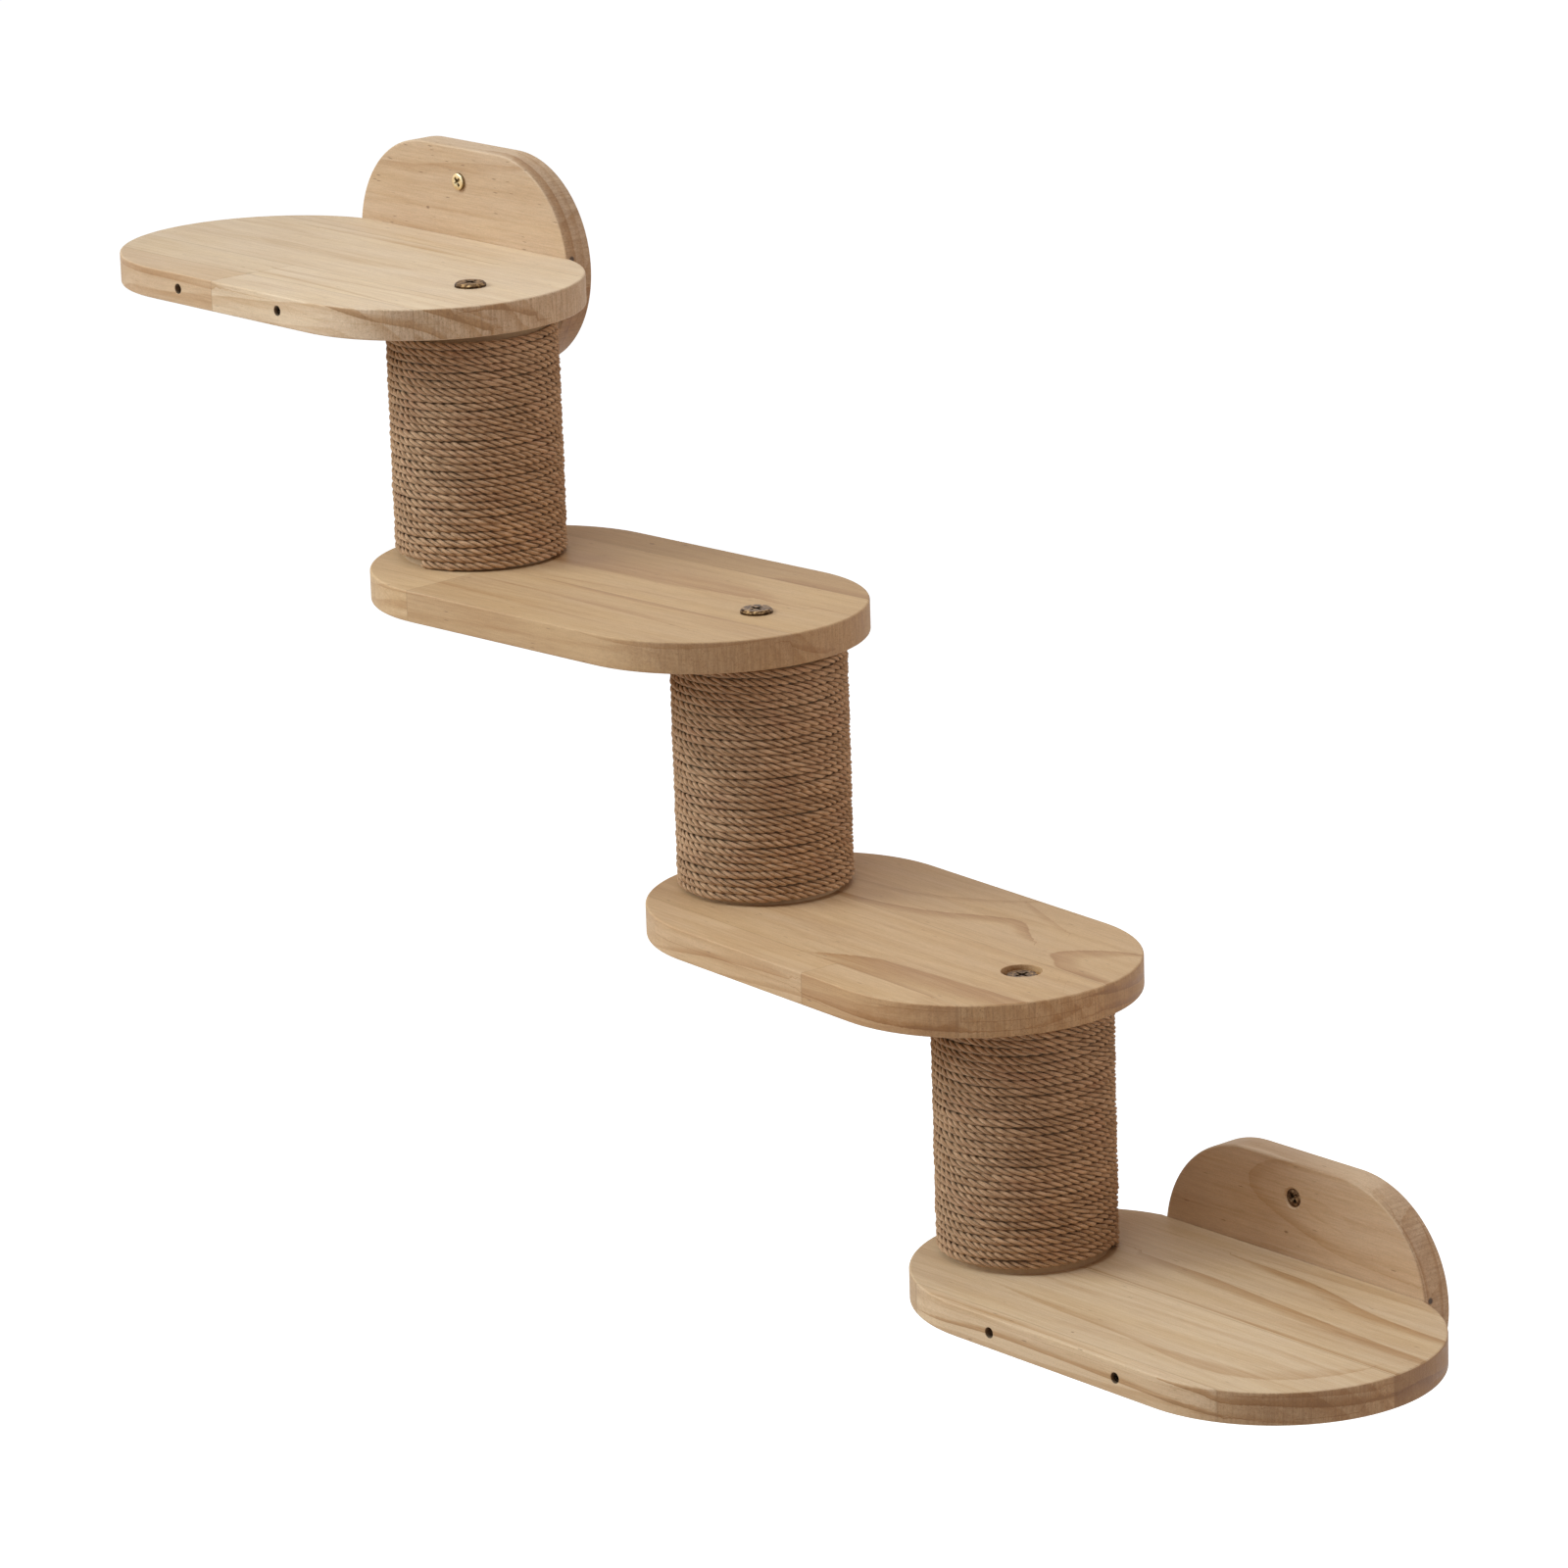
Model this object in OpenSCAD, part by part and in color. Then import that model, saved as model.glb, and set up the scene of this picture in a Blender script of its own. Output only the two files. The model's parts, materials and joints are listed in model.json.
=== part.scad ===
// Wall-mounted cat stair: four pine steps held apart by three rope-wound posts, hung from two wall plates.
// +Z is up and +X runs down the stair. The wall is the plane y = 0, and the stair stands in front of it.
// The origin is the centre of the upper wall plate's back face, midway between its two wall screws.

/* [Steps] */
// Length of a step board along the wall
step_len = 325; // [300:1:400]
// Width of a step board, front to back
step_wid = 176; // [160:1:220]
// Thickness of a step board
step_thk = 18; // [16:0.5:26]
// Radius of the eased rims of every board
rim_r = 1.2; // [0.6:0.1:3]
// Rise from one step to the next
step_rise = 153.5; // [130:0.5:220]
// Gap between the two middle steps and the wall, towards which they are turned
wall_gap = 3.3; // [0.5:0.1:15]

/* [Posts] */
// Outer diameter of a post over its rope
post_d = 99; // [90:1:120]
// Distance from a post's surface to the tip of the step above it
post_margin = 1.75; // [0.25:0.25:12]
// Wall of the cardboard tube inside a post
tube_wall = 4; // [3:0.5:8]
// Thickness of the wooden plug in each end of a tube
plug_thk = 20; // [16:1:30]

/* [Rope] */
// Thickness of the rope, measured outwards from the tube
rope_d = 4.5; // [3:0.1:7]
// Turns of rope on one post
rope_turns = 24; // [12:1:24]
// Gap between one turn and the next
rope_row_gap = 0.5; // [0.44:0.02:1.5]
// Gap between the rope and the step above or below it
rope_end_gap = 0.3; // [0.1:0.05:1]
// Direction in which each post's rope ends, anticlockwise from +X, in degrees
rope_end_angles = [-68, 140, 38]; // [-180:1:180]

/* [Post bolts] */
// Diameter of a bolt's shank
bolt_d = 8; // [6:0.5:10]
// Length of a bolt under its head
bolt_len = 42; // [38:1:70]
// Diameter of a bolt's head
bolt_head_d = 18; // [16:0.5:22]
// Thickness of a bolt's head
bolt_head_thk = 2.4; // [1.8:0.1:4]
// Width of one arm of the cross recess in a bolt's head
bolt_cross_w = 1.8; // [1:0.1:3]
// Span of the cross recess in a bolt's head
bolt_cross_span = 8; // [5:0.5:12]
// Depth of the cross recess in a bolt's head
bolt_cross_depth = 1.4; // [0.6:0.1:3]
// Depth of the counterbore that sinks the third step's bolt
sunk_depth = 4.5; // [3:0.5:9]
// Space around the head in that counterbore
sunk_clear = 2; // [0.5:0.5:4]

/* [Tee nuts] */
// Diameter of a tee nut's flange
nut_flange_d = 22; // [18:1:30]
// Thickness of the flange
nut_flange_thk = 1.5; // [1:0.1:3]
// Wall of the threaded barrel
nut_wall = 1.1; // [0.8:0.1:2]
// Length of the barrel beyond the flange
nut_barrel_len = 12; // [8:1:15]
// Prongs on one flange
nut_prongs = 3; // [2:1:4]
// Height of a prong
nut_prong_h = 6; // [3:0.5:10]

/* [Wall plates] */
// Length of a wall plate along the wall
plate_len = 193; // [170:1:230]
// Height of a wall plate
plate_hgt = 124; // [110:1:160]
// Thickness of a wall plate
plate_thk = 18; // [15:0.5:26]
// Depth of the flat cut on a wall step's back edge, where its plate is seated
back_cut = 3; // [1:0.5:8]
// How far the upper plate sits from the middle of its step
upper_plate_shift = -3.5; // [-10:0.5:10]
// How far the lower plate sits from the middle of its step
lower_plate_shift = 2.5; // [-10:0.5:10]

/* [Wall screws] */
// Distance between a plate's two wall screws, one above the step and one below it
wall_screw_spacing = 84; // [70:1:92]
// Outer diameter of a wall screw's thread
wall_screw_d = 5; // [4:0.5:6]
// Diameter of a wall screw's plain shank
wall_shank_d = 3.6; // [2.5:0.1:3.9]
// Diameter of a wall screw's countersunk head
wall_head_d = 10; // [8:0.5:12]
// Length of a wall screw
wall_screw_len = 50; // [45:1:100]
// Clearance around a wall screw in its hole
wall_screw_clear = 0.25; // [0.15:0.05:0.6]
// How far the upper plate's screw heads are driven in, where less than nothing stands proud
upper_screw_sunk = -1.5; // [-2:0.1:1.5]
// How far the lower plate's screw heads are driven in
lower_screw_sunk = 1; // [-2:0.1:1.5]

/* [Edge screws] */
// Distance between the two screws that run through a wall step into its plate
edge_screw_spacing = 94; // [60:1:120]
// Diameter of an edge screw's shank
edge_screw_d = 4; // [3:0.1:4.5]
// Diameter of an edge screw's head
edge_head_d = 5.2; // [4.7:0.1:8]
// Clearance around that head in its bore through the step
edge_clear = 0.15; // [0.1:0.05:1]
// Length of an edge screw's head
edge_head_len = 4; // [2:0.5:6]
// Depth of the left screw's head below the front edge
edge_left_sunk = 8; // [5:0.5:9]
// Depth of the right screw's head below the front edge
edge_right_sunk = 2; // [1:0.5:4]
// How far the right screw bites into the wall plate
edge_bite = 7; // [4:0.5:8]

/* [Hidden] */
$fn = 96;

// Colours of the fasteners
brass = "#d6a94e";
bronze = "#6e5b40";

// Fits
glue_fit = 0.1;
thread_fit = 0.1;
bolt_hole_clear = 0.2;
cut_over = 1;

// Layout of the stair
steps = 4;
first_step = 0;
last_step = steps - 1;
sunk_post = 2;
post_inset = post_d / 2 + post_margin;
post_span = step_len - 2 * post_inset;
post_len = step_rise - step_thk;
row_y = -plate_thk - step_wid / 2 + back_cut;
front_y = row_y - step_wid / 2;
first_step_x = -upper_plate_shift;

// Turn of the middle steps, which brings their back edges up to the gap in front of the wall
step_turn = asin(2 * (plate_thk - back_cut - wall_gap) / (post_span + step_len - step_wid));

// Posts as [x, y]: one under each lower end of a step, the middle one turned towards the wall
post_1_at = [first_step_x + post_span / 2, row_y];
post_2_at = post_1_at + post_span * [cos(step_turn), sin(step_turn)];
post_3_at = post_2_at + post_span * [cos(step_turn), -sin(step_turn)];
posts_at = [post_1_at, post_2_at, post_3_at];

// Steps as [x, y] of their middles, with their turns
steps_at = [
    [first_step_x, row_y],
    (post_1_at + post_2_at) / 2,
    (post_2_at + post_3_at) / 2,
    post_3_at + [post_span / 2, 0]
];
turns = [0, step_turn, -step_turn, 0];
lower_plate_x = steps_at[last_step][0] + lower_plate_shift;

// Tube and rope. The tube just fits inside the flats of the rope's polygon.
rope_rings = 15;
rope_sides = 4;
tube_r = (post_d / 2 - rope_d) * cos(180 / rope_rings) - glue_fit;
plug_r = tube_r - tube_wall - glue_fit;
rope_r = post_d / 2 - rope_d / 2;
rope_pitch = (post_len - 2 * rope_end_gap + rope_row_gap) / (rope_turns + 1);
rope_row_h = rope_pitch - rope_row_gap;
rope_last_ring = rope_turns * rope_rings;
rope_tail = rope_d;

// Fasteners
bolt_hole_d = bolt_d + 2 * bolt_hole_clear;
nut_barrel_d = bolt_d + 2 * thread_fit + 2 * nut_wall;
nut_prong_w = 4;
nut_prong_thk = 1.2;
nut_prong_at = nut_flange_d / 2 - nut_prong_thk;
wall_hole_d = wall_screw_d + 2 * wall_screw_clear;
wall_rim_thk = 0.4;
wall_point_len = wall_screw_d;
wall_cross_w = 1.2;
wall_cross_span = 4.6;
wall_cross_depth = 1.6;
edge_bore_d = edge_head_d + 2 * edge_clear;
edge_screw_len = step_wid - back_cut - edge_right_sunk + edge_bite;
edge_pilot_len = edge_screw_len + edge_left_sunk - step_wid + back_cut + cut_over;
edge_cross_w = 1;
edge_cross_span = 3.2;
edge_cross_depth = 1.5;

// Point i of the rope's section: a rhomb, thick outwards from the post and as high as one row
function section_point(i) = [
    rope_d / 2 * cos(360 * i / rope_sides),
    rope_row_h / 2 * sin(360 * i / rope_sides)
];

// Ring of the rope that stands square to it at a number of rings up the winding, moved along its tangent
function rope_ring(ring, along) =
    let (
        turned = 360 * ring / rope_rings,
        height = rope_end_gap + rope_row_h / 2 + rope_pitch * ring / rope_rings
    )
    [
        for (i = [0 : rope_sides - 1])
            let (point = section_point(i), r = rope_r + point[0])
            [
                r * cos(turned) - along * sin(turned),
                r * sin(turned) + along * cos(turned),
                height + point[1]
            ]
    ];

// All rings, bottom to top, with a straight tail of one rope diameter at each end
rope_path = [
    rope_ring(0, -rope_tail),
    for (ring = [0 : rope_last_ring]) rope_ring(ring, 0),
    rope_ring(rope_last_ring, rope_tail)
];

// Least distance between the points of rings that lie one turn apart, tails included
rope_gap = min([
    for (a = [0 : len(rope_path) - 1])
        for (b = [a + rope_rings - 1 : min(a + rope_rings + 1, len(rope_path) - 1)])
            for (p = rope_path[a], q = rope_path[b])
                norm(p - q)
]);
echo(str("least gap between the rope's turns: ", rope_gap, " mm"));

// Half of a board's section from its middle to its rim, with eased corners
module rim_section(r, thk) {
    flat = thk / 2 - rim_r;
    translate([0, -thk / 2]) square([r - rim_r, thk]);
    translate([0, -flat]) square([r, 2 * flat]);
    for (side = [-1, 1])
        translate([r - rim_r, side * flat]) circle(rim_r, $fn = 32);
}

// Flat board with two round ends and eased rims, centred, its faces at +Z and -Z
module round_ended_board(len, wid, thk) {
    straight = len - wid;
    for (side = [0, 180])
        rotate(side) translate([straight / 2, 0, 0])
            rotate(-90) rotate_extrude(angle = 180) rim_section(wid / 2, thk);
    rotate([90, 0, 90]) linear_extrude(straight, center = true) {
        rim_section(wid / 2, thk);
        mirror([1, 0]) rim_section(wid / 2, thk);
    }
}

// Moves to the middle of a step and turns with it
module at_step(i) {
    translate([steps_at[i][0], steps_at[i][1], -i * step_rise]) rotate(turns[i]) children();
}

// Moves to the axis of a post, at the height of its foot
module at_post(i) {
    translate([posts_at[i][0], posts_at[i][1], -(i + 1) * step_rise + step_thk / 2]) children();
}

// Moves to the top of a post and points up, or to its foot and points down
module at_post_end(i, top) {
    at_post(i) translate([0, 0, top ? post_len : 0]) mirror([0, 0, top ? 0 : 1]) children();
}

// Moves to the place of each edge screw on the front edge of a wall step, looking along +Y.
// The children may read $side, which is -1 on the left and 1 on the right.
module at_edge_screws(i) {
    for ($side = [-1, 1])
        translate([steps_at[i][0] + $side * edge_screw_spacing / 2, front_y, -i * step_rise])
            rotate([-90, 0, 0]) children();
}

// Moves to the place of each wall screw on a plate's front face, looking along +Y
module at_wall_screws(x, z) {
    for (side = [-1, 1])
        translate([x, -plate_thk, z + side * wall_screw_spacing / 2]) rotate([-90, 0, 0]) children();
}

// Cross-shaped cut, open upwards, its mouth at z = 0
module cross_recess(span, w, depth) {
    for (turn = [0, 90])
        rotate(turn) translate([-span / 2, -w / 2, -depth]) cube([span, w, depth + cut_over]);
}

// Pine step: two bolt holes over its posts, and on a wall step the flat back and two long edge bores
module step(i) {
    wall_step = i == first_step || i == last_step;
    color("burlywood")
        difference() {
            at_step(i) round_ended_board(step_len, step_wid, step_thk);
            at_step(i) {
                if (i < last_step)
                    translate([post_span / 2, 0, 0])
                        cylinder(d = bolt_hole_d, h = step_thk + 2 * cut_over, center = true);
                if (i > first_step)
                    translate([-post_span / 2, 0, 0])
                        cylinder(d = bolt_hole_d, h = step_thk + 2 * cut_over, center = true);
                if (i == sunk_post)
                    translate([post_span / 2, 0, step_thk / 2 - sunk_depth])
                        cylinder(d = bolt_head_d + 2 * sunk_clear, h = sunk_depth + cut_over);
                if (wall_step)
                    translate([-step_len / 2, step_wid / 2 - back_cut, -step_thk])
                        cube([step_len, back_cut + cut_over, 2 * step_thk]);
            }
            if (wall_step)
                at_edge_screws(i)
                    translate([0, 0, -cut_over]) cylinder(d = edge_bore_d, h = step_wid + cut_over);
        }
}

// Wall plate: countersunk holes for the wall screws and blind pilot holes for the edge screws
module wall_plate(i, x, sunk) {
    z = -i * step_rise;
    face_d = wall_head_d + 2 * sunk + 2 * glue_fit;
    color("burlywood")
        difference() {
            translate([x, -plate_thk / 2, z])
                rotate([90, 0, 0]) round_ended_board(plate_len, plate_hgt, plate_thk);
            at_wall_screws(x, z) {
                translate([0, 0, -cut_over]) cylinder(d = wall_hole_d, h = plate_thk + 2 * cut_over);
                translate([0, 0, -cut_over])
                    cylinder(d1 = face_d + 2 * cut_over, d2 = 0, h = face_d / 2 + cut_over);
            }
            at_edge_screws(i)
                translate([0, 0, step_wid - back_cut - cut_over])
                    cylinder(d = edge_screw_d + 2 * thread_fit, h = edge_pilot_len + cut_over);
        }
}

// Cardboard tube inside a post, open at both ends
module post_tube(i) {
    color("tan")
        at_post(i) difference() {
            cylinder(r = tube_r, h = post_len);
            translate([0, 0, -cut_over]) cylinder(r = tube_r - tube_wall, h = post_len + 2 * cut_over);
        }
}

// Rope wound round a post: one unbroken tube, swept ring by ring up a helix
module post_rope(i) {
    rings = len(rope_path);
    points = [for (ring = rope_path) each ring];
    sides = [
        for (ring = [0 : rings - 2])
            for (k = [0 : rope_sides - 1])
                let (
                    here = ring * rope_sides,
                    next = (k + 1) % rope_sides,
                    a = here + k,
                    b = here + next,
                    c = here + rope_sides + next,
                    d = here + rope_sides + k
                )
                each [[a, c, b], [a, d, c]]
    ];
    last = (rings - 1) * rope_sides;
    first_cap = [for (k = [1 : rope_sides - 2]) [0, k, k + 1]];
    last_cap = [for (k = [1 : rope_sides - 2]) [last, last + k + 1, last + k]];
    color("peru")
        at_post(i) rotate(rope_end_angles[i])
            polyhedron(points = points, faces = concat(first_cap, sides, last_cap), convexity = 10);
}

// Prongs of a tee nut from a depth in its flange upwards, or with a fit around them the slots that they cut
module nut_prong_set(from, fit) {
    for (k = [0 : nut_prongs - 1])
        rotate(360 * k / nut_prongs)
            translate([nut_prong_at - fit, -nut_prong_w / 2 - fit, -from])
                cube([nut_prong_thk + 2 * fit, nut_prong_w + 2 * fit, nut_prong_h + fit + from]);
}

// Wooden plug glued into a tube's end, its outer face level with it, bored for the tee nut's barrel
module post_plug(i, top) {
    color("wheat")
        at_post_end(i, top) translate([0, 0, -plug_thk]) difference() {
            cylinder(r = plug_r, h = plug_thk);
            translate([0, 0, -cut_over])
                cylinder(d = nut_barrel_d + 2 * thread_fit, h = plug_thk + 2 * cut_over);
            nut_prong_set(cut_over, thread_fit);
        }
}

// Tee nut pressed into a plug from inside the tube: flange, barrel and prongs
module post_tee_nut(i, top) {
    color("silver")
        at_post_end(i, top) translate([0, 0, -plug_thk]) difference() {
            union() {
                translate([0, 0, -nut_flange_thk]) cylinder(d = nut_flange_d, h = nut_flange_thk);
                translate([0, 0, -nut_flange_thk])
                    cylinder(d = nut_barrel_d, h = nut_barrel_len + nut_flange_thk);
                nut_prong_set(nut_flange_thk / 2, 0);
            }
            translate([0, 0, -nut_flange_thk - cut_over])
                cylinder(d = bolt_d + 2 * thread_fit, h = nut_barrel_len + nut_flange_thk + 2 * cut_over);
        }
}

// Flat-headed bolt through a step into a post's tee nut, its head's edge chamfered
module post_bolt(i, top) {
    chamfer = bolt_head_thk / 2;
    sunk = top && i == sunk_post ? sunk_depth : 0;
    color(bronze)
        at_post_end(i, top) translate([0, 0, step_thk - sunk]) difference() {
            union() {
                translate([0, 0, -bolt_len]) cylinder(d = bolt_d, h = bolt_len + chamfer);
                cylinder(d = bolt_head_d, h = chamfer);
                translate([0, 0, chamfer])
                    cylinder(d1 = bolt_head_d, d2 = bolt_head_d - 2 * chamfer, h = chamfer);
            }
            translate([0, 0, bolt_head_thk]) cross_recess(bolt_cross_span, bolt_cross_w, bolt_cross_depth);
        }
}

// The two wall screws of a plate: countersunk heads, plain shanks, and threads that stand out behind it
module wall_screws(i, x, sunk, tone) {
    cone_h = (wall_head_d - wall_shank_d) / 2;
    thread_at = plate_thk - sunk;
    thread_len = wall_screw_len - thread_at - wall_point_len;
    color(tone)
        at_wall_screws(x, -i * step_rise) translate([0, 0, sunk]) difference() {
            union() {
                translate([0, 0, -wall_rim_thk]) cylinder(d = wall_head_d, h = wall_rim_thk);
                cylinder(d1 = wall_head_d, d2 = wall_shank_d, h = cone_h);
                cylinder(d = wall_shank_d, h = thread_at);
                translate([0, 0, thread_at]) cylinder(d = wall_screw_d, h = thread_len);
                translate([0, 0, thread_at + thread_len])
                    cylinder(d1 = wall_screw_d, d2 = 0, h = wall_point_len);
            }
            translate([0, 0, -wall_rim_thk]) mirror([0, 0, 1])
                cross_recess(wall_cross_span, wall_cross_w, wall_cross_depth);
        }
}

// The two long screws that draw a wall step against its plate, their heads sunk in the bores
module edge_screws(i) {
    point_at = edge_screw_len - edge_screw_d;
    color("dimgray")
        at_edge_screws(i) translate([0, 0, $side < 0 ? edge_left_sunk : edge_right_sunk]) difference() {
            union() {
                cylinder(d = edge_head_d, h = edge_head_len);
                cylinder(d = edge_screw_d, h = point_at);
                translate([0, 0, point_at]) cylinder(d1 = edge_screw_d, d2 = 0, h = edge_screw_d);
            }
            mirror([0, 0, 1]) cross_recess(edge_cross_span, edge_cross_w, edge_cross_depth);
        }
}

module upper_wall_plate() { wall_plate(first_step, 0, upper_screw_sunk); }
module lower_wall_plate() { wall_plate(last_step, lower_plate_x, lower_screw_sunk); }
module upper_wall_screws() { wall_screws(first_step, 0, upper_screw_sunk, brass); }
module lower_wall_screws() { wall_screws(last_step, lower_plate_x, lower_screw_sunk, bronze); }

step(0);  // step_1
step(1);  // step_2
step(2);  // step_3
step(3);  // step_4
upper_wall_plate();
lower_wall_plate();
post_tube(0);  // post_1_tube
post_tube(1);  // post_2_tube
post_tube(2);  // post_3_tube
post_rope(0);  // post_1_rope
post_rope(1);  // post_2_rope
post_rope(2);  // post_3_rope
post_plug(0, true);  // post_1_top_plug
post_plug(1, true);  // post_2_top_plug
post_plug(2, true);  // post_3_top_plug
post_plug(0, false);  // post_1_bottom_plug
post_plug(1, false);  // post_2_bottom_plug
post_plug(2, false);  // post_3_bottom_plug
post_tee_nut(0, true);  // post_1_top_tee_nut
post_tee_nut(1, true);  // post_2_top_tee_nut
post_tee_nut(2, true);  // post_3_top_tee_nut
post_tee_nut(0, false);  // post_1_bottom_tee_nut
post_tee_nut(1, false);  // post_2_bottom_tee_nut
post_tee_nut(2, false);  // post_3_bottom_tee_nut
post_bolt(0, true);  // post_1_top_bolt
post_bolt(1, true);  // post_2_top_bolt
post_bolt(2, true);  // post_3_top_bolt
post_bolt(0, false);  // post_1_bottom_bolt
post_bolt(1, false);  // post_2_bottom_bolt
post_bolt(2, false);  // post_3_bottom_bolt
upper_wall_screws();
lower_wall_screws();
edge_screws(first_step);  // upper_edge_screws
edge_screws(last_step);  // lower_edge_screws
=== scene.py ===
import json
import math
import random

import bmesh
import bpy
import numpy as np
from mathutils import Matrix, Vector
from mathutils.geometry import tessellate_polygon


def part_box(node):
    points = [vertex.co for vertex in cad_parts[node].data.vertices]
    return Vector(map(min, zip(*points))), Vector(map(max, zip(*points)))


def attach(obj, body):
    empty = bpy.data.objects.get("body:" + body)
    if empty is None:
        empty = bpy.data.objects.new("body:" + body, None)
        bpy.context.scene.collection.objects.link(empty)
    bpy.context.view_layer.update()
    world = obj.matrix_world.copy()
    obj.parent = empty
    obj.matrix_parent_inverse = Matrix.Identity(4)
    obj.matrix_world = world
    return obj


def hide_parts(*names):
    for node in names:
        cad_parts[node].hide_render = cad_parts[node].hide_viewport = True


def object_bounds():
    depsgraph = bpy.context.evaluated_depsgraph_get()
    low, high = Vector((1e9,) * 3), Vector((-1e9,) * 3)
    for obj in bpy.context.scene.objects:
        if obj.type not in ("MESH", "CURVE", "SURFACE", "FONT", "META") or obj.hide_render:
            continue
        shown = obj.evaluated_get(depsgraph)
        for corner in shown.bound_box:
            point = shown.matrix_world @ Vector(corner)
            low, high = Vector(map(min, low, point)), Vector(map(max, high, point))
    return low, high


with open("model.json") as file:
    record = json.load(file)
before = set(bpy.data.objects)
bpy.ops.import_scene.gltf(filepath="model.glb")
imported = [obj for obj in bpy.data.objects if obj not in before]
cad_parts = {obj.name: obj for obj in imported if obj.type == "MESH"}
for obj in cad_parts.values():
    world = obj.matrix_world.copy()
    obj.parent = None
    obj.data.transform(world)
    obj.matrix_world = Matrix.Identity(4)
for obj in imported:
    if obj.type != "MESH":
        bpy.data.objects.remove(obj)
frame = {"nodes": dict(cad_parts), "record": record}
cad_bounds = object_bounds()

# Lengths are in millimetres, which MM turns into metres, and angles are in degrees.
# The camera, the floor and the lamps are in metres.
MM = 0.001
X_AXIS = (1.0, 0.0, 0.0)
Y_AXIS = (0.0, 1.0, 0.0)
Z_AXIS = (0.0, 0.0, 1.0)

# The pieces, from the top. A wall step stands in front of a plate.
STEPS = ["step_1", "step_2", "step_3", "step_4"]
WALL_STEPS = ["step_1", "step_4"]
PLATES = ["upper_wall_plate", "lower_wall_plate"]
POSTS = ["post_1", "post_2", "post_3"]

# The cord wound on each post. Each of its strands is drawn this far round its own middle, to both sides.
CORD_TURNS = 30
CORD_DIAMETER = 4.5
CORD_LAY = 17.2
CORD_FOOT_ANGLES = [-83, 140, 38]
CORD_SQUASH = 1.03
CORD_RINGS = 4700
STRANDS = 3
STRAND_RADIUS = 1.06
STRAND_OFFSET = 1.20
STRAND_REACH = 138
POINTS_PER_STRAND = 7

# How the cord strays from an even winding. A wave is (height, length, number of its phase).
PHASES = 6
IN_OUT_WAVES = [(0.10, 41, 0), (0.10, 67, 1), (0.05, 9.7, 2), (0.05, 5.9, 3)]
UP_DOWN_WAVES = [(0.2, 38.3, 4), (0.1, 13.7, 5)]
TWIST_WAVES = [(1.6, 97, 2), (1.1, 171, 3), (0.42, 11.3, 0), (0.30, 5.1, 1)]
SWELL_WAVES = [(0.09, 2.3, 0), (0.05, 9.1, 3)]
OFFSET_WAVES = [(0.08, 4.3, 2)]
PULLED_IN = 0.15

# One more swelling of the strands, whose phase moves on from strand to strand
RIPPLE_HEIGHT = 0.07
RIPPLE_LENGTH = 4.7
RIPPLE_LAG = 2

# The fibres' slant round a strand, and the distance between the strands in the material's own space
FIBRE_SLANT = 0.28
LANE = 7.0

# The grooves between the strands reach this far from the cord's middle; the jute's painted shade in them is
# lighter where they face out
GROOVE_REACH = 0.81
OPEN_GROOVE = 0.3

# The wall screws: each head's outline as (radius, depth behind its front), its cross and the cut thread
PAN_HEAD = [(4.35, 0), (4.75, 0.12), (5.0, 0.5), (5.0, 1.85), (3.4, 1.9), (1.8, 3.6)]
FLAT_HEAD = [(4.7, 0), (5.0, 0.25), (5.0, 0.4), (1.8, 3.6)]
HEAD_SIDES = 48
SHANK_RADIUS = 1.8
CROSS_SPAN = 6.2
CROSS_WIDTH = 1.9
CROSS_DEPTH = 1.8
CROSS_FLOOR = 0.55
CROSS_TURN = 38
THREAD_RADIUS = 2.5
CORE_RADIUS = 1.7
THREAD_PITCH = 2.4
RIDGE_SHARE = 0.3
THREAD_SIDES = 20
RINGS_PER_PITCH = 12
THREAD_OVERLAP = 0.5
POINT_LENGTH = 6.0
POINT_BLUNTNESS = 0.03
SCREW_SMOOTH_ANGLE = 40
ALL_SMOOTH = 181

# The camera, found from the outlines of the boards in the photograph
CAMERA_PLACE = (3.06665, -2.4084, 0.7670)
CAMERA_YAW = 49.456
CAMERA_PITCH = 15.734
CAMERA_ROLL = -1.845
CAMERA_FAR = 200
PHOTO_SIZE = 1600
FOCAL_PIXELS = 6921.4
SENSOR_WIDTH = 36.0

# The soft fill from all sides, and the floor. The floor's own glow makes up for the fill's tint, so that
# the floor shows white.
FILL_COLOUR = (1.0, 0.70, 0.56)
FILL_STRENGTH = 0.33
FLOOR_HEIGHT = -1.4
FLOOR_HALF_WIDTH = 60.0
FLOOR_COLOUR = (0.8, 0.8, 0.8)
FLOOR_GLOW = (0.76, 0.84, 0.88)

# Colours of the pine, and of what darkens it
PINE_EARLY = (0.67, 0.52, 0.36)
PINE_LATE = (0.465, 0.29, 0.15)
PINE_DEEP = (0.23, 0.12, 0.05)
GLUE_COLOUR = (0.24, 0.14, 0.07)
FLECK_COLOUR = (0.13, 0.065, 0.028)
SAW_COLOUR = (0.24, 0.135, 0.07)
PORE_COLOUR = (0.24, 0.13, 0.065)
END_COLOUR = (0.26, 0.15, 0.08)
KNOT_COLOUR = (0.12, 0.055, 0.022)
# The painted shade of the gap between a plate and its step
GAP_SHADE_COLOUR = (0.03, 0.015, 0.008)

# Colours of the jute, of its reddish patches and of the painted shade in the gaps between the strands
JUTE_DARK = (0.28, 0.155, 0.077)
JUTE_PALE = (0.80, 0.55, 0.345)
JUTE_RUST = (0.50, 0.28, 0.17)
JUTE_GAP_SHADE = (0.09, 0.033, 0.01)
JUTE_SHEEN = (1.0, 0.80, 0.60, 1.0)


def middle_of(box):
    """The middle of a box that is given by two corners."""
    low, high = box
    return (Vector(low) + Vector(high)) / 2


# Materials

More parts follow.
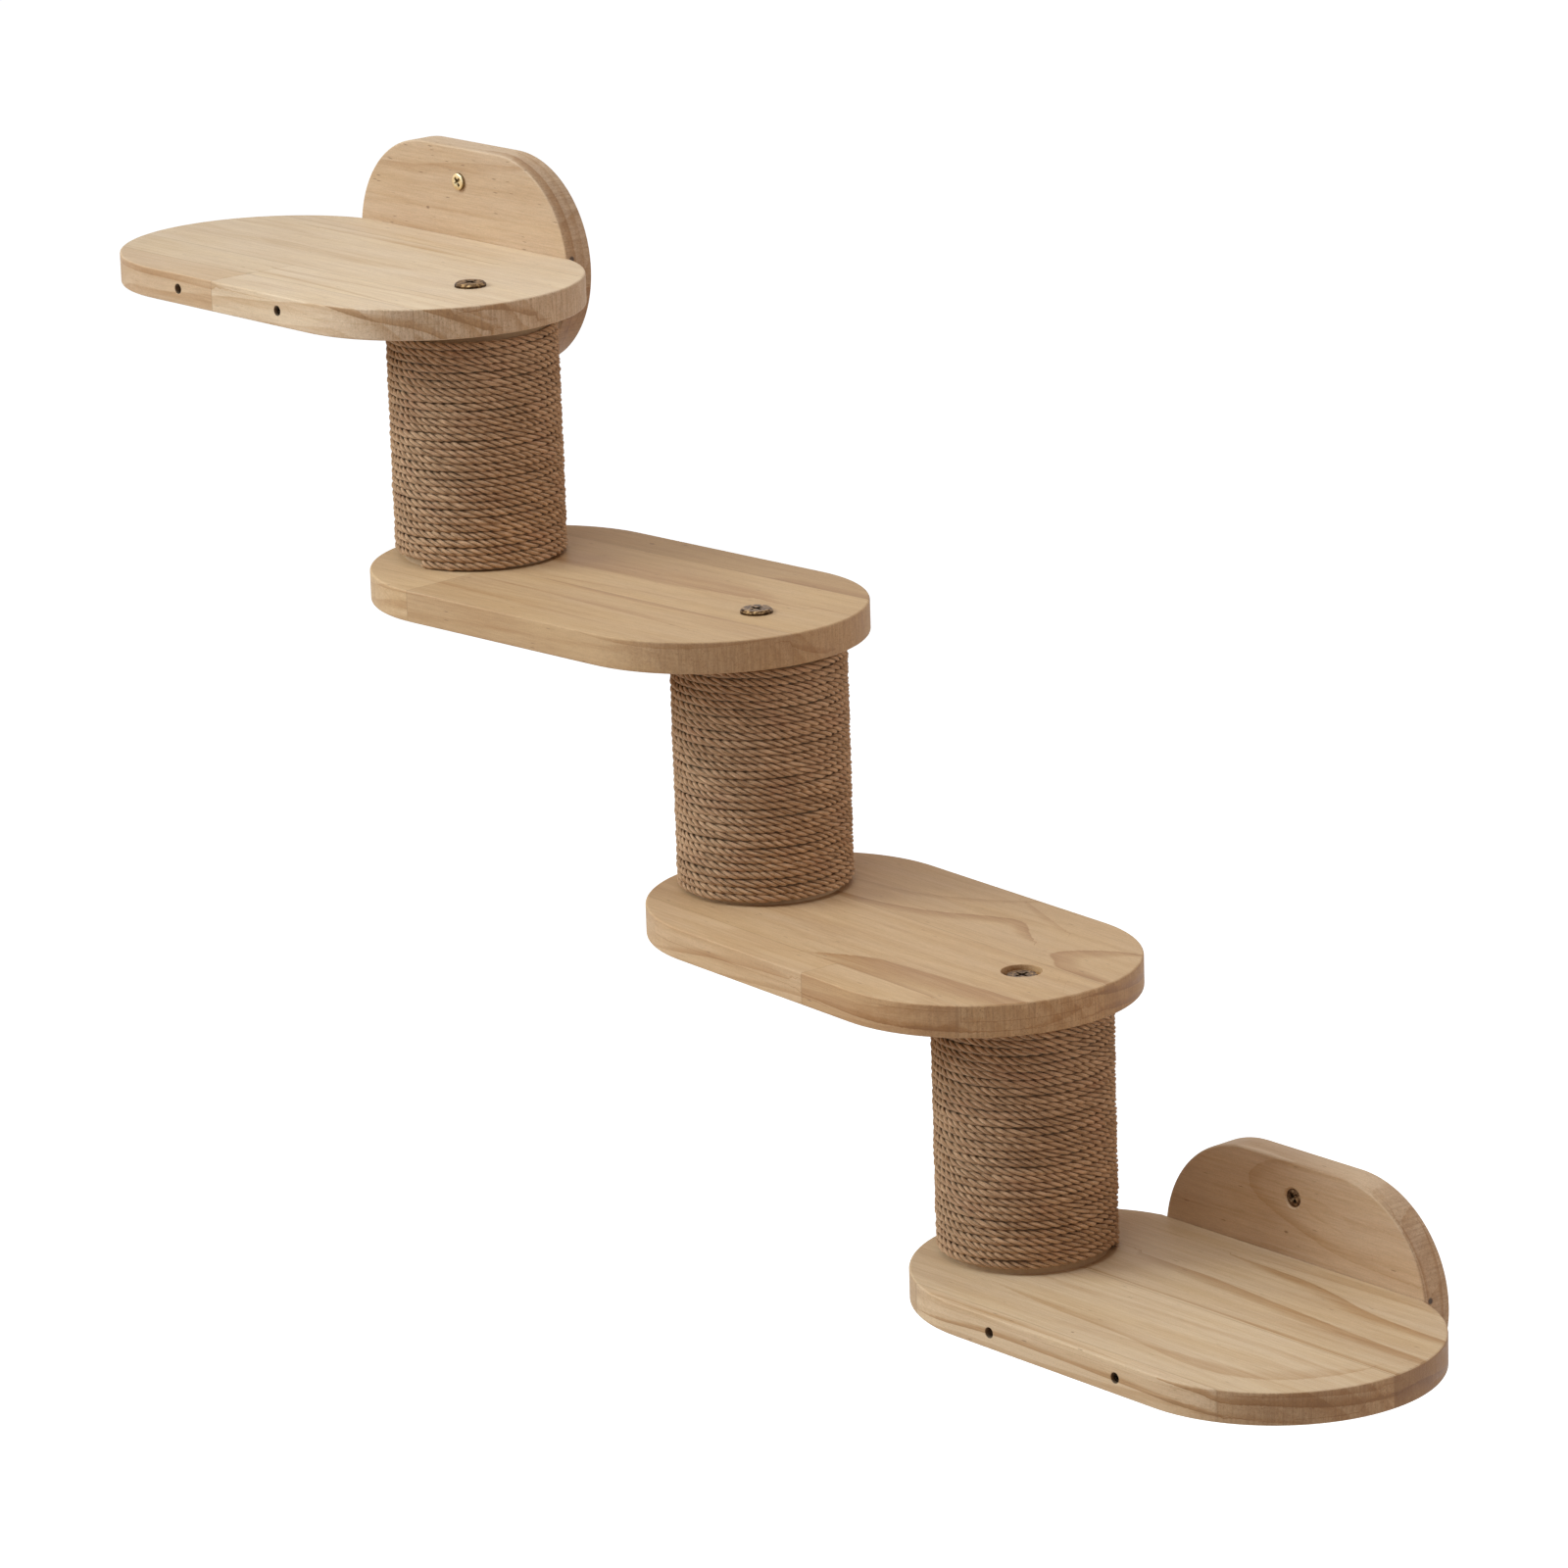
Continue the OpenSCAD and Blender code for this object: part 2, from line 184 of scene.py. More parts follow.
class Graph:
    """One material's node tree, with short calls for the nodes that are used here."""

    def __init__(self, name):
        self.material = bpy.data.materials.new(name)
        self.material.use_nodes = True
        self.tree = self.material.node_tree
        self.tree.nodes.clear()
        self.shader = self.add("ShaderNodeBsdfPrincipled")
        output = self.add("ShaderNodeOutputMaterial")
        self.tree.links.new(self.shader.outputs[0], output.inputs[0])

    def add(self, kind, *values, **settings):
        """A node of that kind, with its first sockets and its settings."""
        node = self.tree.nodes.new(kind)
        for key, value in settings.items():
            setattr(node, key, value)
        for socket, value in zip(node.inputs, values):
            self.put(socket, value)
        return node

    def put(self, socket, value):
        """Links a socket, or sets a number or vector."""
        if isinstance(value, bpy.types.NodeSocket):
            self.tree.links.new(value, socket)
        else:
            socket.default_value = value

    def set(self, **values):
        """Sets or links the shader's sockets, such as roughness."""
        for key, value in values.items():
            self.put(self.shader.inputs[key.replace("_", " ")], value)

    def math(self, kind, *values, clamp=False):
        """A Math node."""
        return self.add("ShaderNodeMath", *values, operation=kind, use_clamp=clamp).outputs[0]

    def plus(self, first, *others):
        """A sum."""
        for value in others:
            first = self.math("ADD", first, value)
        return first

    def times(self, first, *others):
        """A product."""
        for value in others:
            first = self.math("MULTIPLY", first, value)
        return first

    def minus(self, first, second):
        """A difference."""
        return self.math("SUBTRACT", first, second)

    def over(self, first, second):
        """A quotient."""
        return self.math("DIVIDE", first, second)

    def length(self, u, v):
        """The length of a flat vector."""
        return self.math("SQRT", self.plus(self.times(u, u), self.times(v, v)))

    def centred(self, value):
        """A number from 0 to 1, moved to -0.5 to 0.5."""
        return self.minus(value, 0.5)

    def weigh(self, total, *parts):
        """A number plus others from 0 to 1, each centred and times its weight."""
        for value, weight in parts:
            total = self.plus(total, self.times(self.centred(value), weight))
        return total

    def held(self, value):
        """A number, held between 0 and 1."""
        return self.math("ADD", value, 0.0, clamp=True)

    def vector(self, kind, *values):
        """A Vector Math node."""
        node = self.add("ShaderNodeVectorMath", *values, operation=kind)
        return node.outputs["Value"] if kind in ("DOT_PRODUCT", "DISTANCE") else node.outputs[0]

    def join(self, x, y, z):
        """One vector from three numbers."""
        return self.add("ShaderNodeCombineXYZ", x, y, z).outputs[0]

    def split(self, value):
        """The three numbers of a vector."""
        return self.add("ShaderNodeSeparateXYZ", value).outputs

    def attribute(self, name, output="Vector"):
        """An attribute that is stored on the mesh."""
        return self.add("ShaderNodeAttribute", attribute_name=name).outputs[output]

    def place(self):
        """The place in the object, in metres."""
        return self.add("ShaderNodeTexCoord").outputs["Object"]

    def facing(self, axis):
        """1 where the surface faces along an axis, down to 0 where it is square to it."""
        normal = self.add("ShaderNodeNewGeometry").outputs["Normal"]
        return self.math("ABSOLUTE", self.vector("DOT_PRODUCT", normal, axis))

    def noise(self, at, stretch, detail, roughness, output=0):
        """Noise from 0 to 1, or its colour with output 1. A stretch below 1 draws it out."""
        node = self.add("ShaderNodeTexNoise", self.vector("MULTIPLY", at, stretch))
        node.inputs["Scale"].default_value = 1.0
        node.inputs["Detail"].default_value = detail
        node.inputs["Roughness"].default_value = roughness
        return node.outputs[output]

    def cells(self, at, stretch, scale):
        """Distance to the nearest of scattered points, and that point's random number."""
        node = self.add("ShaderNodeTexVoronoi", self.vector("MULTIPLY", at, stretch))
        node.inputs["Scale"].default_value = scale
        return node.outputs["Distance"], self.split(node.outputs["Color"])[0]

    def chance(self, value):
        """A random number for each whole number."""
        node = self.add("ShaderNodeTexWhiteNoise", noise_dimensions="1D")
        self.put(node.inputs["W"], value)
        return node.outputs[0]

    def ramp(self, value, low, high, to_low=0.0, to_high=1.0, smooth=True):
        """value from low..high to to_low..to_high, held at the ends."""
        kind = "SMOOTHSTEP" if smooth else "LINEAR"
        node = self.add("ShaderNodeMapRange", value, low, high, to_low, to_high,
                        clamp=True, interpolation_type=kind)
        return node.outputs[0]

    def mix(self, share, first, second, kind="MIX"):
        """A mixture of two colours."""
        node = self.add("ShaderNodeMix", share, data_type="RGBA", blend_type=kind)
        for number, colour in ((6, first), (7, second)):
            self.put(node.inputs[number], (*colour, 1) if isinstance(colour, tuple) else colour)
        return node.outputs[2]

    def tint(self, colour, tone):
        """A colour times another."""
        return self.mix(1.0, colour, tone, "MULTIPLY")

    def shade(self, colour, level):
        """A colour times a number."""
        return self.tint(colour, self.join(level, level, level))

    def emboss(self, height, distance, strength):
        """Bumps of that height, in units of distance, in metres."""
        node = self.add("ShaderNodeBump")
        node.inputs["Strength"].default_value = strength
        node.inputs["Distance"].default_value = distance
        self.put(node.inputs["Height"], height)
        self.set(Normal=node.outputs[0])


def growth_rings(g, at, inside, ragged, knot_push):
    """The number of growth rings between a point and its log's middle, with slow waves along the grain."""
    x, y, z = g.split(at)
    log_y, log_z, seed = g.split(g.attribute("log_at"))
    lean_y, lean_z, spacing = g.split(g.attribute("log_lean"))
    wave = g.split(g.noise(inside, (0.006, 0.03, 0.03), 2.0, 0.45, output=1))
    off_y = g.weigh(g.minus(g.minus(y, log_y), g.times(lean_y, x)), (wave[1], 20.0))
    off_z = g.weigh(g.minus(g.minus(z, log_z), g.times(lean_z, x)), (wave[2], 20.0))
    far = g.plus(g.length(off_y, off_z), knot_push, g.times(ragged, 1.6))
    count = g.over(far, spacing)
    uneven = g.noise(g.join(count, seed, 0.0), (0.7, 1.0, 1.0), 1.0, 0.5)
    return g.plus(count, g.times(uneven, 1.3))


def late_wood(g, count, seed, rim):
    """How much late wood there is at a point, from early to late in each year, and differing by the year."""
    ring = g.math("FRACT", count)
    year = g.plus(g.math("FLOOR", count), seed)
    rise = g.ramp(ring, 0.25, 0.9)
    fall = g.ramp(ring, 0.93, 1.0, 1.0, 0.0)
    strength = g.ramp(g.chance(year), 0.0, 1.0, 0.15, 1.0, smooth=False)
    return g.times(rise, fall, strength, g.ramp(rim, 0.0, 1.0, 0.22, 0.4, smooth=False))


def standing_lines(g, ragged):
    """The growth lines that stand out, dark on one side and sharp on the other."""
    lines = 0.0
    for field, weight in (("line_a", 0.85), ("line_b", 0.5)):
        for distance in g.split(g.attribute(field)):
            distance = g.plus(distance, g.times(ragged, 0.22))
            edge = g.ramp(distance, -0.04, 0.05)
            fade = g.ramp(distance, 0.35, 1.0, weight * 0.62, 0.0)
            core = g.ramp(distance, 0.0, 0.35, weight * 0.3, 0.0)
            lines = g.plus(lines, g.times(edge, g.plus(fade, core)))
    return lines


def pine(name, face_axis):
    """Sawn pine: growth rings round each stave's own log, fibres, flecks, end grain and knots."""
    g = Graph(name)
    at = g.attribute("board_at")
    seed = g.split(g.attribute("log_at"))[2]
    inside = g.vector("ADD", at, g.join(seed, seed, seed))
    rim = g.ramp(g.facing(face_axis), 0.3, 0.9, 1.0, 0.0)
    end = g.ramp(g.facing(X_AXIS), 0.15, 0.75)
    rim_end = g.times(rim, end)

    # The rings bend round the knot, which is twice as long as wide
    x, y, _ = g.split(at)
    knot_x, knot_y, knot_size = g.split(g.attribute("knot_at"))
    knot_far = g.length(g.times(g.minus(x, knot_x), 0.5), g.minus(y, knot_y))
    knot_push = g.times(g.math("EXPONENT", g.over(knot_far, g.times(knot_size, -2.2))), knot_size, 2.0)
    ragged = g.centred(g.noise(inside, (0.03, 0.9, 0.9), 3.0, 0.65))
    count = growth_rings(g, at, inside, ragged, knot_push)
    late_share = g.plus(late_wood(g, count, seed, rim), standing_lines(g, ragged))
    late_share = g.times(late_share, g.attribute("line_gain", "Fac"))

    # Fibres drawn out along the grain, which are dots on the end grain, and slow changes of colour
    fibre = g.noise(inside, (0.022, 0.65, 0.65), 5.0, 0.68)
    band = g.noise(inside, (0.012, 0.22, 0.22), 2.0, 0.5)
    fine = g.noise(inside, (0.12, 1.6, 1.6), 3.0, 0.65)
    grit = g.noise(inside, (1.1, 1.6, 1.6), 2.0, 0.6)
    hue = g.noise(inside, (0.014, 0.05, 0.05), 2.0, 0.5)
    cloud = g.noise(inside, (0.008, 0.03, 0.03), 2.0, 0.5)
    pore = g.noise(inside, (0.8, 0.8, 0.8), 3.0, 0.75)
    saw = g.noise(inside, (0.8, 0.8, 0.05), 3.0, 0.7)
    fleck_far, fleck_chance = g.cells(inside, (0.09, 0.6, 0.6), 0.8)
    fleck_luck = g.plus(fleck_chance, g.attribute("tone", "Alpha"))
    fleck = g.times(g.ramp(fleck_far, 0.07, 0.2, 1.0, 0.0), g.ramp(fleck_luck, 0.9, 1.0))

    # The wood's own colour
    share = g.plus(g.weigh(late_share, (fibre, 1.1), (band, 0.7), (cloud, 0.55)), 0.12)
    deep = g.ramp(share, 0.9, 1.6, 0.0, 0.5)
    share = g.held(share)
    colour = g.mix(deep, g.mix(share, PINE_EARLY, PINE_LATE), PINE_DEEP)
    colour = g.tint(colour, g.attribute("tone", "Color"))
    grey = g.plus(0.69, g.times(fine, 0.34), g.times(grit, 0.28))
    colour = g.tint(colour, g.join(g.weigh(grey, (hue, 0.04)), grey, g.weigh(grey, (hue, -0.16))))

    # What darkens it: glue lines, flecks, saw marks, pores and all of the end grain, the knot, and the
    # painted shade of the gap beside the step
    pores = g.times(rim, g.ramp(end, 0.0, 1.0, 0.25, 1.0), g.ramp(pore, 0.5, 0.72, 0.0, 0.6))
    gap_shade_far = g.vector("DISTANCE", at, g.attribute("gap_shade_at"))
    for amount, stain in (
        (g.ramp(g.attribute("joint", "Fac"), 0.1, 0.6, 0.3, 0.0), GLUE_COLOUR),
        (g.times(fleck, 0.55), FLECK_COLOUR),
        (g.times(rim_end, g.ramp(saw, 0.35, 0.7, 0.0, 0.42)), SAW_COLOUR),
        (pores, PORE_COLOUR),
        (g.times(rim_end, 0.16), END_COLOUR),
        (g.ramp(g.over(knot_far, knot_size), 0.3, 1.0, 0.6, 0.0), KNOT_COLOUR),
        # Painted shade of the gap between a plate and its step
        (g.ramp(gap_shade_far, 1.2, 2.2, 0.9, 0.0), GAP_SHADE_COLOUR),
    ):
        colour = g.mix(amount, colour, stain)
    g.set(Base_Color=colour, Roughness=g.ramp(share, 0.0, 1.0, 0.64, 0.5), Specular_IOR_Level=0.3)
    height = g.minus(g.plus(g.times(fibre, 0.7), g.times(fine, 0.35)), g.times(fleck, 0.8))
    rough = g.times(rim_end, g.minus(saw, pore), 1.6)
    g.emboss(g.plus(height, g.times(share, 0.25), rough), 0.00014, 0.7)
    return g.material


def jute(name):
    """Laid jute cord: fibres that run along each strand, painted highlights on the strands' crests and
    painted shade in the gaps.
    """
    g = Graph(name)
    at = g.attribute("fibre_at")
    depth = g.attribute("cord_depth", "Fac")
    place = g.add("ShaderNodeNewGeometry").outputs["Position"]
    lane, _, along = g.split(at)
    strand = g.math("FLOOR", g.over(g.plus(lane, LANE / 2), LANE))
    streak = g.noise(at, (3.2, 3.2, 0.11), 3.0, 0.65)
    thin = g.noise(at, (9.0, 9.0, 0.4), 2.0, 0.6)
    patch = g.noise(g.join(along, strand, 0.0), (0.12, 50.0, 1.0), 2.0, 0.6)
    batch = g.noise(g.join(along, 0.0, 0.0), (0.02, 1.0, 1.0), 3.0, 0.6)
    cloud = g.noise(place, (26.0, 26.0, 60.0), 2.0, 0.5)
    rust = g.noise(place, (48.0, 48.0, 90.0), 2.0, 0.5)
    share = g.weigh(0.45, (streak, 1.6), (thin, 1.3), (patch, 1.2), (batch, 0.5), (cloud, 0.4))
    colour = g.mix(g.held(share), JUTE_DARK, JUTE_PALE)
    colour = g.mix(g.ramp(rust, 0.5, 0.75, 0.0, 0.35), colour, JUTE_RUST)
    # Painted shade and highlight: darker down in the grooves, paler on the crests, then near black in the
    # gaps
    colour = g.shade(colour, g.ramp(depth, 0.45, 1.0, 0.74, 1.14))
    colour = g.mix(g.ramp(depth, 0.12, 0.74, 0.94, 0.0), colour, JUTE_GAP_SHADE)
    g.set(Base_Color=colour, Roughness=0.85, Specular_IOR_Level=0.2)
    g.set(Sheen_Weight=0.8, Sheen_Roughness=0.3, Sheen_Tint=JUTE_SHEEN)
    g.emboss(g.plus(streak, g.times(thin, 0.5)), 0.0006, 0.9)
    return g.material


def metal(name, face_axis, body, worn, roughness, side=1.0):
    """Plated metal, mottled and finely scratched, with painted shade: times side where it doesn't face along
    the axis.
    """
    g = Graph(name)
    blotch = g.noise(g.place(), (420.0, 420.0, 420.0), 4.0, 0.65)
    scratch = g.noise(g.place(), (900.0, 5200.0, 5200.0), 2.0, 0.6)
    colour = g.mix(g.ramp(blotch, 0.42, 0.68), body, worn)
    # Painted shade on the sides that don't face along the axis
    colour = g.shade(colour, g.ramp(g.facing(face_axis), 0.35, 0.9, side, 1.0))
    g.set(Base_Color=colour, Metallic=1.0, Roughness=g.plus(roughness, g.times(scratch, 0.2)))
    g.emboss(g.plus(blotch, g.times(scratch, 0.4)), 0.00008, 0.5)
    return g.material


def cardboard(name):
    """Brown board with its fibres."""
    g = Graph(name)
    mottle = g.noise(g.place(), (260.0, 260.0, 260.0), 4.0, 0.7)
    fibre = g.noise(g.place(), (700.0, 700.0, 180.0), 3.0, 0.6)
    share = g.plus(g.times(mottle, 0.6), g.times(fibre, 0.4))
    g.set(Base_Color=g.mix(share, (0.36, 0.25, 0.15), (0.55, 0.42, 0.28)), Roughness=0.9)
    g.emboss(fibre, 0.0001, 0.6)
    return g.material


def turned_wood(name):
    """Raw softwood of the plugs, with its rings."""
    g = Graph(name)
    bent = g.noise(g.place(), (22.0, 22.0, 22.0), 2.0, 0.5)
    y = g.split(g.place())[1]
    rings = g.math("FRACT", g.plus(g.times(y, 210.0), g.times(bent, 3.0)))
    fibre = g.noise(g.place(), (60.0, 1500.0, 1500.0), 3.0, 0.6)
    share = g.plus(g.times(rings, 0.5), g.times(fibre, 0.5))
    g.set(Base_Color=g.mix(share, (0.66, 0.50, 0.32), (0.46, 0.31, 0.17)), Roughness=0.75)
    g.emboss(fibre, 0.0001, 0.5)
    return g.material


PINE = pine("sawn_pine", Z_AXIS)
PINE_PLATE = pine("sawn_pine_plate", Y_AXIS)
JUTE = jute("laid_jute")
# The bolt and screw heads' sides get painted shade through side
BRONZE = metal("antique_bronze", Z_AXIS, (0.085, 0.043, 0.019), (0.45, 0.27, 0.125), 0.34, side=0.3)
SCREW_BRONZE = metal("screw_bronze", Y_AXIS, (0.10, 0.055, 0.028), (0.42, 0.28, 0.16), 0.34, side=0.4)
BRASS = metal("bright_brass", Y_AXIS, (0.80, 0.60, 0.32), (0.90, 0.75, 0.48), 0.22, side=0.3)
DARK_STEEL = metal("dark_steel", Y_AXIS, (0.020, 0.012, 0.007), (0.05, 0.035, 0.022), 0.45)
ZINC = metal("zinc_plate", Z_AXIS, (0.48, 0.49, 0.50), (0.68, 0.68, 0.69), 0.3)
CARDBOARD = cardboard("spiral_cardboard")
PLUG_WOOD = turned_wood("turned_softwood")


# Boards

PLAIN = (1.0, 1.0, 1.0)


class Stave:
    """A strip of a board, from low to high across it, with the log that it was sawn from.

    log is the log's middle, across the board and through it, at the middle of the board's length.
    lean is how far that middle moves across and through for each millimetre along.
    tone multiplies the wood's colour, and rim does so once more on the board's rim.
    """

    def __init__(self, low, high, log, lean, spacing, tone, left=-500, right=500, rim=PLAIN):
        self.low = low
        self.high = high
        self.left = left
        self.right = right
        self.log = log
        self.lean = lean
        self.spacing = spacing
        self.tone = tone
        self.rim = rim

    def holds(self, x, y):
        """Whether a point of the board is in this stave."""
        return self.low <= y < self.high and self.left <= x < self.right

    def to_joint(self, x, y):
        """How far a point is from the nearest glue line round this stave."""
        return min(abs(y - self.low), abs(self.high - y), abs(x - self.left), abs(self.right - x))


# The staves of each board, from its front edge to its back, with their tones
FAR_OUT = 500
STAVES = {
    "step_1": [
        Stave(-FAR_OUT, -60, (-120, -60), (0.02, 0.05), 11, (0.90, 0.84, 0.78), right=-14.5,
              rim=(1.04, 1.02, 1.0)),
        Stave(-FAR_OUT, -60, (-110, -70), (-0.03, 0.06), 12, PLAIN, left=-14.5,
              rim=(1.05, 1.06, 1.08)),
        Stave(-60, -28, (-90, -50), (0.03, 0.02), 10, (0.97, 0.96, 0.94), right=-14.5),
        Stave(-60, -28, (-95, -50), (0.02, 0.02), 10, (1.03, 1.04, 1.04), left=-14.5),
        Stave(-28, 59, (-80, -70), (0.02, -0.03), 11, PLAIN),
        Stave(59, FAR_OUT, (120, -50), (0.02, 0.02), 9, (0.96, 0.94, 0.92)),
    ],
    "step_2": [
        Stave(-FAR_OUT, -21, (-110, -60), (0.02, 0.05), 9, (0.94, 0.90, 0.86), left=-77),
        Stave(-FAR_OUT, -21, (-90, -60), (0.02, 0.05), 9, (1.05, 1.04, 1.02), right=-77),
        Stave(-21, 58, (-60, -50), (0.03, 0.05), 12, (0.95, 0.91, 0.86)),
        Stave(58, FAR_OUT, (20, -80), (0.03, 0.03), 10, (0.82, 0.76, 0.70)),
    ],
    "step_3": [
        Stave(-FAR_OUT, -63, (-70, -80), (0.02, 0.05), 10, (0.99, 0.95, 0.90), right=35),
        Stave(-FAR_OUT, -63, (-70, -80), (0.02, 0.05), 10, (0.98, 0.94, 0.89), left=35,
              rim=(0.87, 0.80, 0.73)),
        Stave(-63, 15, (-90, -60), (0.04, 0.03), 12, (0.93, 0.88, 0.82), rim=(1.10, 1.10, 1.07)),
        Stave(15, FAR_OUT, (-60, -60), (0.05, 0.05), 13, (0.91, 0.86, 0.80), rim=(0.94, 0.91, 0.87)),
    ],
    "step_4": [
        Stave(-FAR_OUT, -78, (-100, -50), (0.01, 0.03), 9, (0.96, 0.93, 0.89)),
        Stave(-78, -2.3, (-90, -45), (0.01, 0.03), 12, (0.93, 0.90, 0.85), rim=(0.86, 0.80, 0.74)),
        Stave(-2.3, FAR_OUT, (-60, -60), (0.01, 0.02), 14, (0.86, 0.81, 0.74), rim=(0.62, 0.54, 0.48)),
    ],
    "upper_wall_plate": [
        Stave(-FAR_OUT, FAR_OUT, (-90, -60), (0.03, 0.02), 13, PLAIN),
    ],
    "lower_wall_plate": [
        Stave(-FAR_OUT, FAR_OUT, (-80, -60), (0.03, 0.02), 12, PLAIN),
    ],
}

# How strongly the growth lines show on each board's faces and on its rim
LINE_GAINS = {
    "step_1": (0.72, 1.45),
    "step_2": (1.0, 1.2),
    "step_3": (1.3, 1.5),
    "step_4": (1.12, 1.5),
    "upper_wall_plate": (0.5, 1.3),
    "lower_wall_plate": (0.5, 1.3),
}

# Each board's tone, which goes on top of its staves' tones
BOARD_TONES = {
    "step_1": PLAIN,
    "step_2": (0.87, 0.79, 0.67),
    "step_3": (0.93, 0.86, 0.76),
    "step_4": (1.05, 1.05, 1.03),
    "upper_wall_plate": (0.885, 0.835, 0.80),
    "lower_wall_plate": (0.93, 0.88, 0.84),
}

# How much paler the top step gets from its left end to its right end
STEP_1_DRIFT = (0.92, 1.08)

# Painted shade: the foot of a plate's rim, under the step, is darkened to a browner tone, and the long edge
# bores are darkened inside
PLATE_FOOT = -9
PLATE_FOOT_SHADE = (0.85, 0.74, 0.66)
BORE_PLACE = 47
BORE_REACH = 3.3
BORE_SLOPE = 0.5
BORE_SHADE = 0.25

# Each board's knot as (along, across, size)
NO_KNOT = (-400, 0, 1.0)
KNOTS = {
    "step_1": NO_KNOT,
    "step_2": (-48, 73, 1.5),
    "step_3": NO_KNOT,
    "step_4": (1, -72, 0.8),
    "upper_wall_plate": (-31, 23, 1.1),
    "lower_wall_plate": (-5, 22, 1.0),
}

# Painted shade: a small dark spot on each plate's rim, for the shaded gap beside the end of the step's back
# edge
GAP_SHADE_ON_PLATE = (96.4, 8.0, 5.0)
NO_GAP_SHADE = (-400, 0, 0)

# How much more often than on the top step a board has flecks
FLECKS = {
    "step_1": 0.0,
    "step_2": 0.05,
    "step_3": 0.06,
    "step_4": 0.04,
    "upper_wall_plate": 0.38,
    "lower_wall_plate": 0.1,
}

# Growth lines that stand out, three strong and then three faint ones to a board, or empty places. A point
# is (along, across, width): the wood is dark to the left of the line, over that width, and pale to its right.
FACE_LINES = {
    "step_1": [
        [(130, -33, 1), (60, -36, 4), (10, -39, 4), (-14, -40, 3)],
        [(-14, -53, 3), (30, -53, 4), (70, -55, 4), (125, -58, 1)],
        [(-115, 50, 1), (-60, 50, 7), (0, 50, 7), (75, 49, 1)],
        [(70, 66, 1), (20, 67, 7), (-40, 68, 1)],
        [(60, 10, 1), (0, 11, 18), (-60, 12, 18), (-100, 11, 1)],
        [(-150, 33, 4), (-120, 34, 12), (-75, 35, 1)],
    ],
    "step_2": [
        [(152, -22, 1), (60, -21, 6), (0, -20, 5), (-40, -19, 1)],
        [(-75, 11, 30), (-20, 12, 45), (30, 13, 45), (85, 19, 20)],
        [(60, 58, 1), (80, 58, 10), (142, 58, 10)],
        [(-45, -15, 1), (0, -11, 4), (65, -6, 1)],
        [(-125, -62, 1), (-40, -66, 5), (70, -70, 1)],
        [(-60, -40, 1), (40, -45, 7), (110, -50, 1)],
    ],
    "step_3": [
        [(78, 37, 1), (62, 46, 10), (50, 54, 11), (38, 56, 12), (20, 48, 13), (0, 36, 13), (-20, 28, 11),
         (-45, 22, 9), (-75, 19, 6)],
        [(134, 64, 3), (118, 57, 15), (104, 44, 19), (98, 31, 21), (108, 24, 18), (122, 16.5, 15),
         (156, 17, 7)],
        [(156, -33, 22), (90, -38, 26), (50, -41, 26), (30, -48, 18), (10, -60, 2)],
        [(18, 84, 5), (5, 73, 7), (-10, 63, 8), (-30, 52, 7), (-50, 46, 6), (-82, 42, 5)],
        [(78, 61, 1), (50, 70, 6), (20, 80, 3)],
        [(20, -64, 2), (60, -64, 9), (115, -63.5, 3)],
    ],
    "step_4": [
        [(-65, 0, 2), (0, 0, 3), (60, -0.5, 3), (110, -1, 4), (162, -1, 4)],
        [(168, 24, 10), (100, 27, 13), (50, 31, 13), (0, 35, 12), (-60, 36, 4)],
        [(168, 51, 6), (100, 53, 11), (60, 61, 11), (30, 66, 10), (-25, 67, 1)],
        [(-85, -49, 1), (-40, -54, 7), (20, -57, 8), (60, -62, 10), (85, -63, 14), (108, -58, 16),
         (127, -45, 16), (140, -25, 14), (146, -6, 3)],
        [(-10, 72, 1), (60, 75, 5), (115, 77, 1)],
        [(-100, -84, 1), (-30, -84, 5), (45, -84, 1)],
    ],
    "upper_wall_plate": [
        [(70, 58, 1), (20, 55, 9), (-10, 52, 9), (-40, 48, 8), (-85, 46, 5)],
        [],
        [],
        [(-95, 5, 1), (-20, 9, 6), (50, 6, 1)],
    ],
    "lower_wall_plate": [
        [(70, 63, 2), (0, 62, 7), (-22, 57, 9), (-33, 47, 9), (-28, 38, 8), (-10, 30, 8), (10, 24, 7),
         (35, 18, 6), (85, 15, 3)],
        [],
        [],
        [(70, 40, 1), (40, 41, 9), (5, 48, 9), (-8, 44, 5), (5, 38, 3), (40, 30, 1)],
    ],
}

